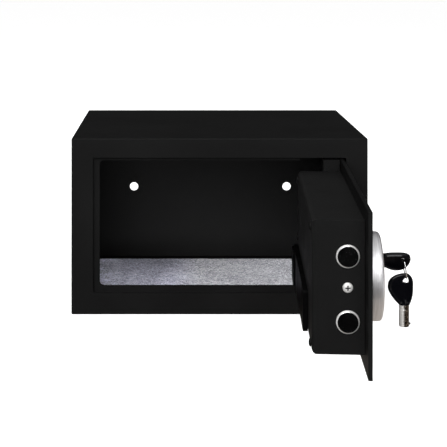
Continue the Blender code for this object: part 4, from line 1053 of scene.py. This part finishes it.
def key_pieces():
    tilt = math.radians(40.0)
    # key 1: along the lock axis, its short side up and to the front
    m1 = (DOOR_M @ Matrix.Translation(P(LOCK[0], 0.45, LOCK[1])) @ Matrix.Rotation(-(math.pi / 2 + tilt), 4, "Y"))
    gloss = grip_plastic()
    g1, b1 = key_mesh("in_lock", m1)
    stand(g1, gloss, "key", "key_plastic", "key_in_lock", door=False)
    axis1 = tuple(DOOR_M.to_3x3() @ Vector((0, 1, 0)))
    two_tone(b1, barrel_metal("barrel_metal_1", tuple(axis1), (0.0, 0.0, -1.0)), gloss)
    stand(b1, None, "key", "chrome", door=False)

    low = Vector(JOINTS["spare_key_swing"]["pos_m"])
    wear = 3.5 - 0.7 - 0.5
    foot = low + Vector((-1.8, 0.0, -wear - 23.2 - BOW_BASE)) * MM
    m2 = Matrix.Translation(foot) @ Matrix.Rotation(-math.pi / 2, 4, "X")
    g2, b2 = key_mesh("spare", m2)
    stand(g2, gloss, "second_key", "key_plastic", "spare_key", door=False)
    two_tone(b2, barrel_metal("barrel_metal_2", (0.0, 0.0, 1.0), (0.70, -0.71, 0.0)), gloss)
    stand(b2, None, "second_key", "chrome", door=False)

    # split ring: two close turns of wire round the torus the solids hold
    hang = Vector(JOINTS["key_ring_swing"]["pos_m"])
    wire = Vector(JOINTS["key_ring_swing"]["axis"]).normalized()
    lean = math.radians(9.0)
    phi = math.radians(33.0)
    down = Vector((math.sin(lean), math.cos(lean) * math.sin(phi), -math.cos(lean) * math.cos(phi)))
    centre = hang + down * 10.8 * MM
    normal = wire.cross(down).normalized()
    bm = bmesh.new()
    turns, per, minor = 2, 96, 12
    total = turns * per
    loops = []
    for i in range(total + 1):
        t = i / per
        a = 2 * math.pi * t + math.radians(200)
        shift = (t / turns - 0.5) * 0.72 * MM
        out = down * math.cos(a) + wire * math.sin(a)
        p = centre + out * (10.8 * MM) + normal * shift
        loops.append([bm.verts.new(p + (out * math.cos(b) + normal * math.sin(b)) * 0.36 * MM)
                      for b in (2 * math.pi * j / minor for j in range(minor))])
    for a, b in zip(loops, loops[1:]):
        for j in range(minor):
            k = (j + 1) % minor
            bm.faces.new((a[j], b[j], b[k], a[k]))
    bm.faces.new(list(reversed(loops[0])))
    bm.faces.new(loops[-1])
    bmesh.ops.recalc_face_normals(bm, faces=bm.faces)
    r = new_ob("split_key_ring", bm, 50)
    stand(r, chrome("ring_chrome", 0.50, 0.14), "ring", "chrome", "key_ring", door=False)


# ================================================================== carried-over CAD nodes
def carried_nodes():
    looks = {
        "hinge_bracket_top": COAT, "hinge_bracket_bottom": COAT,
        "hinge_pin_top": zinc("black_pin", 0.035, 0.45, (1, 1, 1)), "hinge_pin_bottom": zinc("black_pin", 0.035, 0.45, (1, 1, 1)),
        "bolt_bush_top": plastic("bush_nylon", (0.012, 0.012, 0.012), 0.5),
        "bolt_bush_bottom": plastic("bush_nylon", (0.012, 0.012, 0.012), 0.5),
        "guide_stud_1": zinc(), "guide_stud_2": zinc(), "bolt_carriage": zinc("zinc_plate", 0.5, 0.35, (1.0, 0.97, 0.86)),
        "gearmotor": zinc("motor_can", 0.45, 0.28, (1, 1, 1)),
        "motor_bracket": zinc("zinc_plate", 0.5, 0.35, (1.0, 0.97, 0.86)),
        "drive_pinion": plastic("nylon_gear", (0.72, 0.70, 0.62), 0.45, 900.0, 0.08, 0.4),
        "control_board": plastic("solder_mask", (0.012, 0.09, 0.035), 0.35, 700.0, 0.1, 0.5),
        "wire_harness": plastic("wire_sleeve", (0.02, 0.02, 0.02), 0.5, 900.0, 0.1, 0.4),
        "battery_tray": plastic("tray_plastic", (0.010, 0.010, 0.010), 0.45),
        "lock_nut": zinc(), "lock_cam": zinc(),
        "reset_button": plastic("reset_red", (0.30, 0.012, 0.010), 0.35),
    }
    for i in range(1, 7):
        looks["battery_cell_%d" % i] = plastic("cell_sleeve", (0.05, 0.05, 0.055), 0.25, 400.0, 0.03, 0.5, 0.3)
    for name, mat in looks.items():
        ob = frame["nodes"][name]
        ob.data.materials.clear()
        ob.data.materials.append(mat)


# ================================================================== stage, light, camera
def stage():
    bm = bmesh.new()
    bmesh.ops.create_grid(bm, x_segments=1, y_segments=1, size=40.0)
    floor = new_ob("studio_floor", bm)
    m = Mat("studio_floor")
    v = m.coords()
    cloud = m.noise(v, 3.0, 3.0)
    m.l(m.ramp(cloud, [(0.3, 0.90), (0.7, 0.92)]), m.b.inputs["Base Color"])
    m.set(Roughness=0.9, Specular_IOR_Level=0.1)
    path = m.n("ShaderNodeLightPath")
    # to the camera the floor is a bright pale sweep with a faint shadow; to the
    # metal's reflections it is a dim one, as in a room lit from above
    glow = m.n("ShaderNodeEmission", Color=(1, 1, 1, 1), Strength=0.62)
    add = m.n("ShaderNodeAddShader")
    m.l(m.b.outputs[0], add.inputs[0])
    m.l(glow.outputs[0], add.inputs[1])
    place = m.n("ShaderNodeSeparateXYZ")
    m.l(v, place.inputs[0])
    dim = m.n("ShaderNodeEmission")
    matt = path.outputs["Is Diffuse Ray"]
    half = m.math("SUBTRACT", 1.0, m.math("MULTIPLY", matt, 0.7))
    near = m.math("MULTIPLY", m.span(place.outputs["Y"], 0.002, 0.62, -0.52, -0.46),
                  m.math("MAXIMUM", m.span(place.outputs["X"], 0.12, 1.0, 0.02, 0.10), matt))
    # out to the right only the round bezel looks, and there the sweep is white
    side = m.math("MULTIPLY", m.span(place.outputs["X"], 0.0, 1.10, 0.28, 0.38),
                  m.span(place.outputs["Y"], 1.0, 0.0, -0.50, -0.44))
    far = m.span(place.outputs["X"], 1.0, 1.6, 0.36, 0.50)
    m.l(m.math("MULTIPLY", m.math("MULTIPLY", m.math("MAXIMUM", near, side), half), far), dim.inputs["Strength"])
    warm = m.n("ShaderNodeMix", data_type="RGBA")
    m.l(m.math("MAXIMUM", m.span(place.outputs["Y"], 1.0, 0.0, -0.50, -0.44), matt), warm.inputs["Factor"])
    warm.inputs[6].default_value = (1, 0.90, 0.81, 1)
    warm.inputs[7].default_value = (1, 1, 1.02, 1)
    m.l(warm.outputs[2], dim.inputs["Color"])
    mix = m.n("ShaderNodeMixShader")
    m.l(path.outputs["Is Camera Ray"], mix.inputs[0])
    m.l(dim.outputs[0], mix.inputs[1])
    m.l(add.outputs[0], mix.inputs[2])
    m.l(mix.outputs[0], m.out.inputs["Surface"])
    paint(floor, m.m)

    world = bpy.data.worlds.new("studio")
    bpy.context.scene.world = world
    world.use_nodes = True
    nt = world.node_tree
    nt.nodes.clear()
    out = nt.nodes.new("ShaderNodeOutputWorld")
    mix = nt.nodes.new("ShaderNodeMixShader")
    path = nt.nodes.new("ShaderNodeLightPath")
    seen = nt.nodes.new("ShaderNodeBackground")
    seen.inputs["Color"].default_value = (1, 1, 1, 1)
    seen.inputs["Strength"].default_value = 1.0
    soft = nt.nodes.new("ShaderNodeBackground")
    tc = nt.nodes.new("ShaderNodeTexCoord")
    sep = nt.nodes.new("ShaderNodeSeparateXYZ")
    nt.links.new(tc.outputs["Generated"], sep.inputs[0])
    # a dim room, a little brighter overhead
    ramp = nt.nodes.new("ShaderNodeMapRange")
    ramp.inputs["From Min"].default_value = 0.5
    ramp.inputs["From Max"].default_value = 0.9
    ramp.inputs["To Min"].default_value = 0.02
    ramp.inputs["To Max"].default_value = 0.85
    nt.links.new(sep.outputs["Z"], ramp.inputs["Value"])
    nt.links.new(ramp.outputs["Result"], soft.inputs["Strength"])
    soft.inputs["Color"].default_value = (1, 1, 1, 1)
    # matt surfaces get an even room light of their own
    room = nt.nodes.new("ShaderNodeBackground")
    room.inputs["Color"].default_value = (1, 1, 1, 1)
    room.inputs["Strength"].default_value = 0.38
    first = nt.nodes.new("ShaderNodeMixShader")
    nt.links.new(path.outputs["Is Diffuse Ray"], first.inputs[0])
    nt.links.new(soft.outputs[0], first.inputs[1])
    nt.links.new(room.outputs[0], first.inputs[2])
    nt.links.new(path.outputs["Is Camera Ray"], mix.inputs[0])
    nt.links.new(first.outputs[0], mix.inputs[1])
    nt.links.new(seen.outputs[0], mix.inputs[2])
    nt.links.new(mix.outputs[0], out.inputs["Surface"])

    def area(name, at, aim, size, power, size_y=None):
        li = bpy.data.lights.new(name, "AREA")
        li.shape = "RECTANGLE"
        li.size = size
        li.size_y = size_y or size
        li.energy = power
        ob = bpy.data.objects.new(name, li)
        bpy.context.scene.collection.objects.link(ob)
        ob.location = at
        ob.rotation_euler = (Vector(aim) - Vector(at)).to_track_quat("-Z", "Y").to_euler()
        return ob

    # soft boxes for the matt surfaces, hidden from the metal
    for ob in (area("key_front", (-0.75, -2.2, 1.1), (0.0, -0.1, 0.1), 1.4, 50.0, 1.2),
               area("fill_front", (0.6, -2.3, 0.95), (0.0, -0.1, 0.1), 1.0, 7.0, 1.0),
               area("fill_level", (0.05, -2.6, 0.22), (0.0, 0.1, 0.12), 1.3, 17.0, 0.3),
               area("fill_left", (-2.3, -0.8, 0.8), (0.0, -0.1, 0.1), 1.0, 7.0, 1.0),
               area("fill_right", (2.3, -0.25, 0.8), (0.0, -0.2, 0.1), 1.2, 38.0, 1.0),
               area("fill_back", (-1.0, 2.3, 1.3), (0.0, 0.0, 0.1), 1.4, 30.0, 1.2)):
        ob.visible_glossy = False
    # one wide box overhead and in front, seen only in the metal and the gloss
    for ob in (area("gloss_box", (-0.2, -1.9, 1.45), (0.1, -0.32, 0.1), 1.5, 5.8 * math.pi * 3.0, 2.0),):
        ob.visible_diffuse = False
    # three small lights of one piece each: the floor mat from low in front, the
    # back wall from straight ahead, and the lock box from above on the left
    for name, piece, at, aim, size, power, size_y in (
            ("mat_light", "felt_floor_mat", (-0.25, -2.45, 0.9), (0.0, 0.0, 0.0), 1.3, 88.0, 0.5),
            ("wall_light", "safe_back_panel", (-0.15, -2.6, 0.13), (0.0, 0.12, 0.11), 1.0, 17.0, 0.25),
            ("box_light", "lock_box_pan", (-1.2, 0.0, 1.4), (0.1, -0.2, 0.1), 1.0, 26.0, 1.0)):
        only = bpy.data.collections.new(name + "_receivers")
        only.objects.link(bpy.data.objects[piece])
        area(name, at, aim, size, power, size_y).light_linking.receiver_collection = only


def camera():
    cam = bpy.data.cameras.new("camera")
    ob = bpy.data.objects.new("camera", cam)
    bpy.context.scene.collection.objects.link(ob)
    at = Vector((-0.050, FRONT_Y - 1.249, 0.3995))
    ob.location = at
    ob.rotation_euler = (math.pi / 2, 0.0, 0.0)
    cam.sensor_width = 36.0
    cam.lens = 1090.0 * 36.0 / 447.0
    cam.clip_start, cam.clip_end = 0.05, 200.0
    shift = {"shift_x": (223.5 - 176.0) / 447.0, "shift_y": -(223.5 + 34.0) / 447.0}
    # an upright view camera: the lens is shifted, and only at this standpoint
    for prop, value in shift.items():
        setattr(cam, prop, value)
        fc = cam.driver_add(prop)
        d = fc.driver
        d.type = "SCRIPTED"
        for name, kind in (("x", "LOC_X"), ("z", "LOC_Z")):
            var = d.variables.new()
            var.name = name
            var.type = "TRANSFORMS"
            var.targets[0].id = ob
            var.targets[0].transform_type = kind
            var.targets[0].transform_space = "WORLD_SPACE"
        d.expression = "%.6f if abs(x - %.6f) + abs(z - %.6f) < 0.002 else 0.0" % (value, at.x, at.z)
    bpy.context.scene.camera = ob


body_pieces()
mat_piece()
door_pieces()
bolt_pieces()
inner_pieces()
front_pieces()
key_pieces()
carried_nodes()
stage()
camera()
bpy.context.scene.view_settings.view_transform = "Standard"
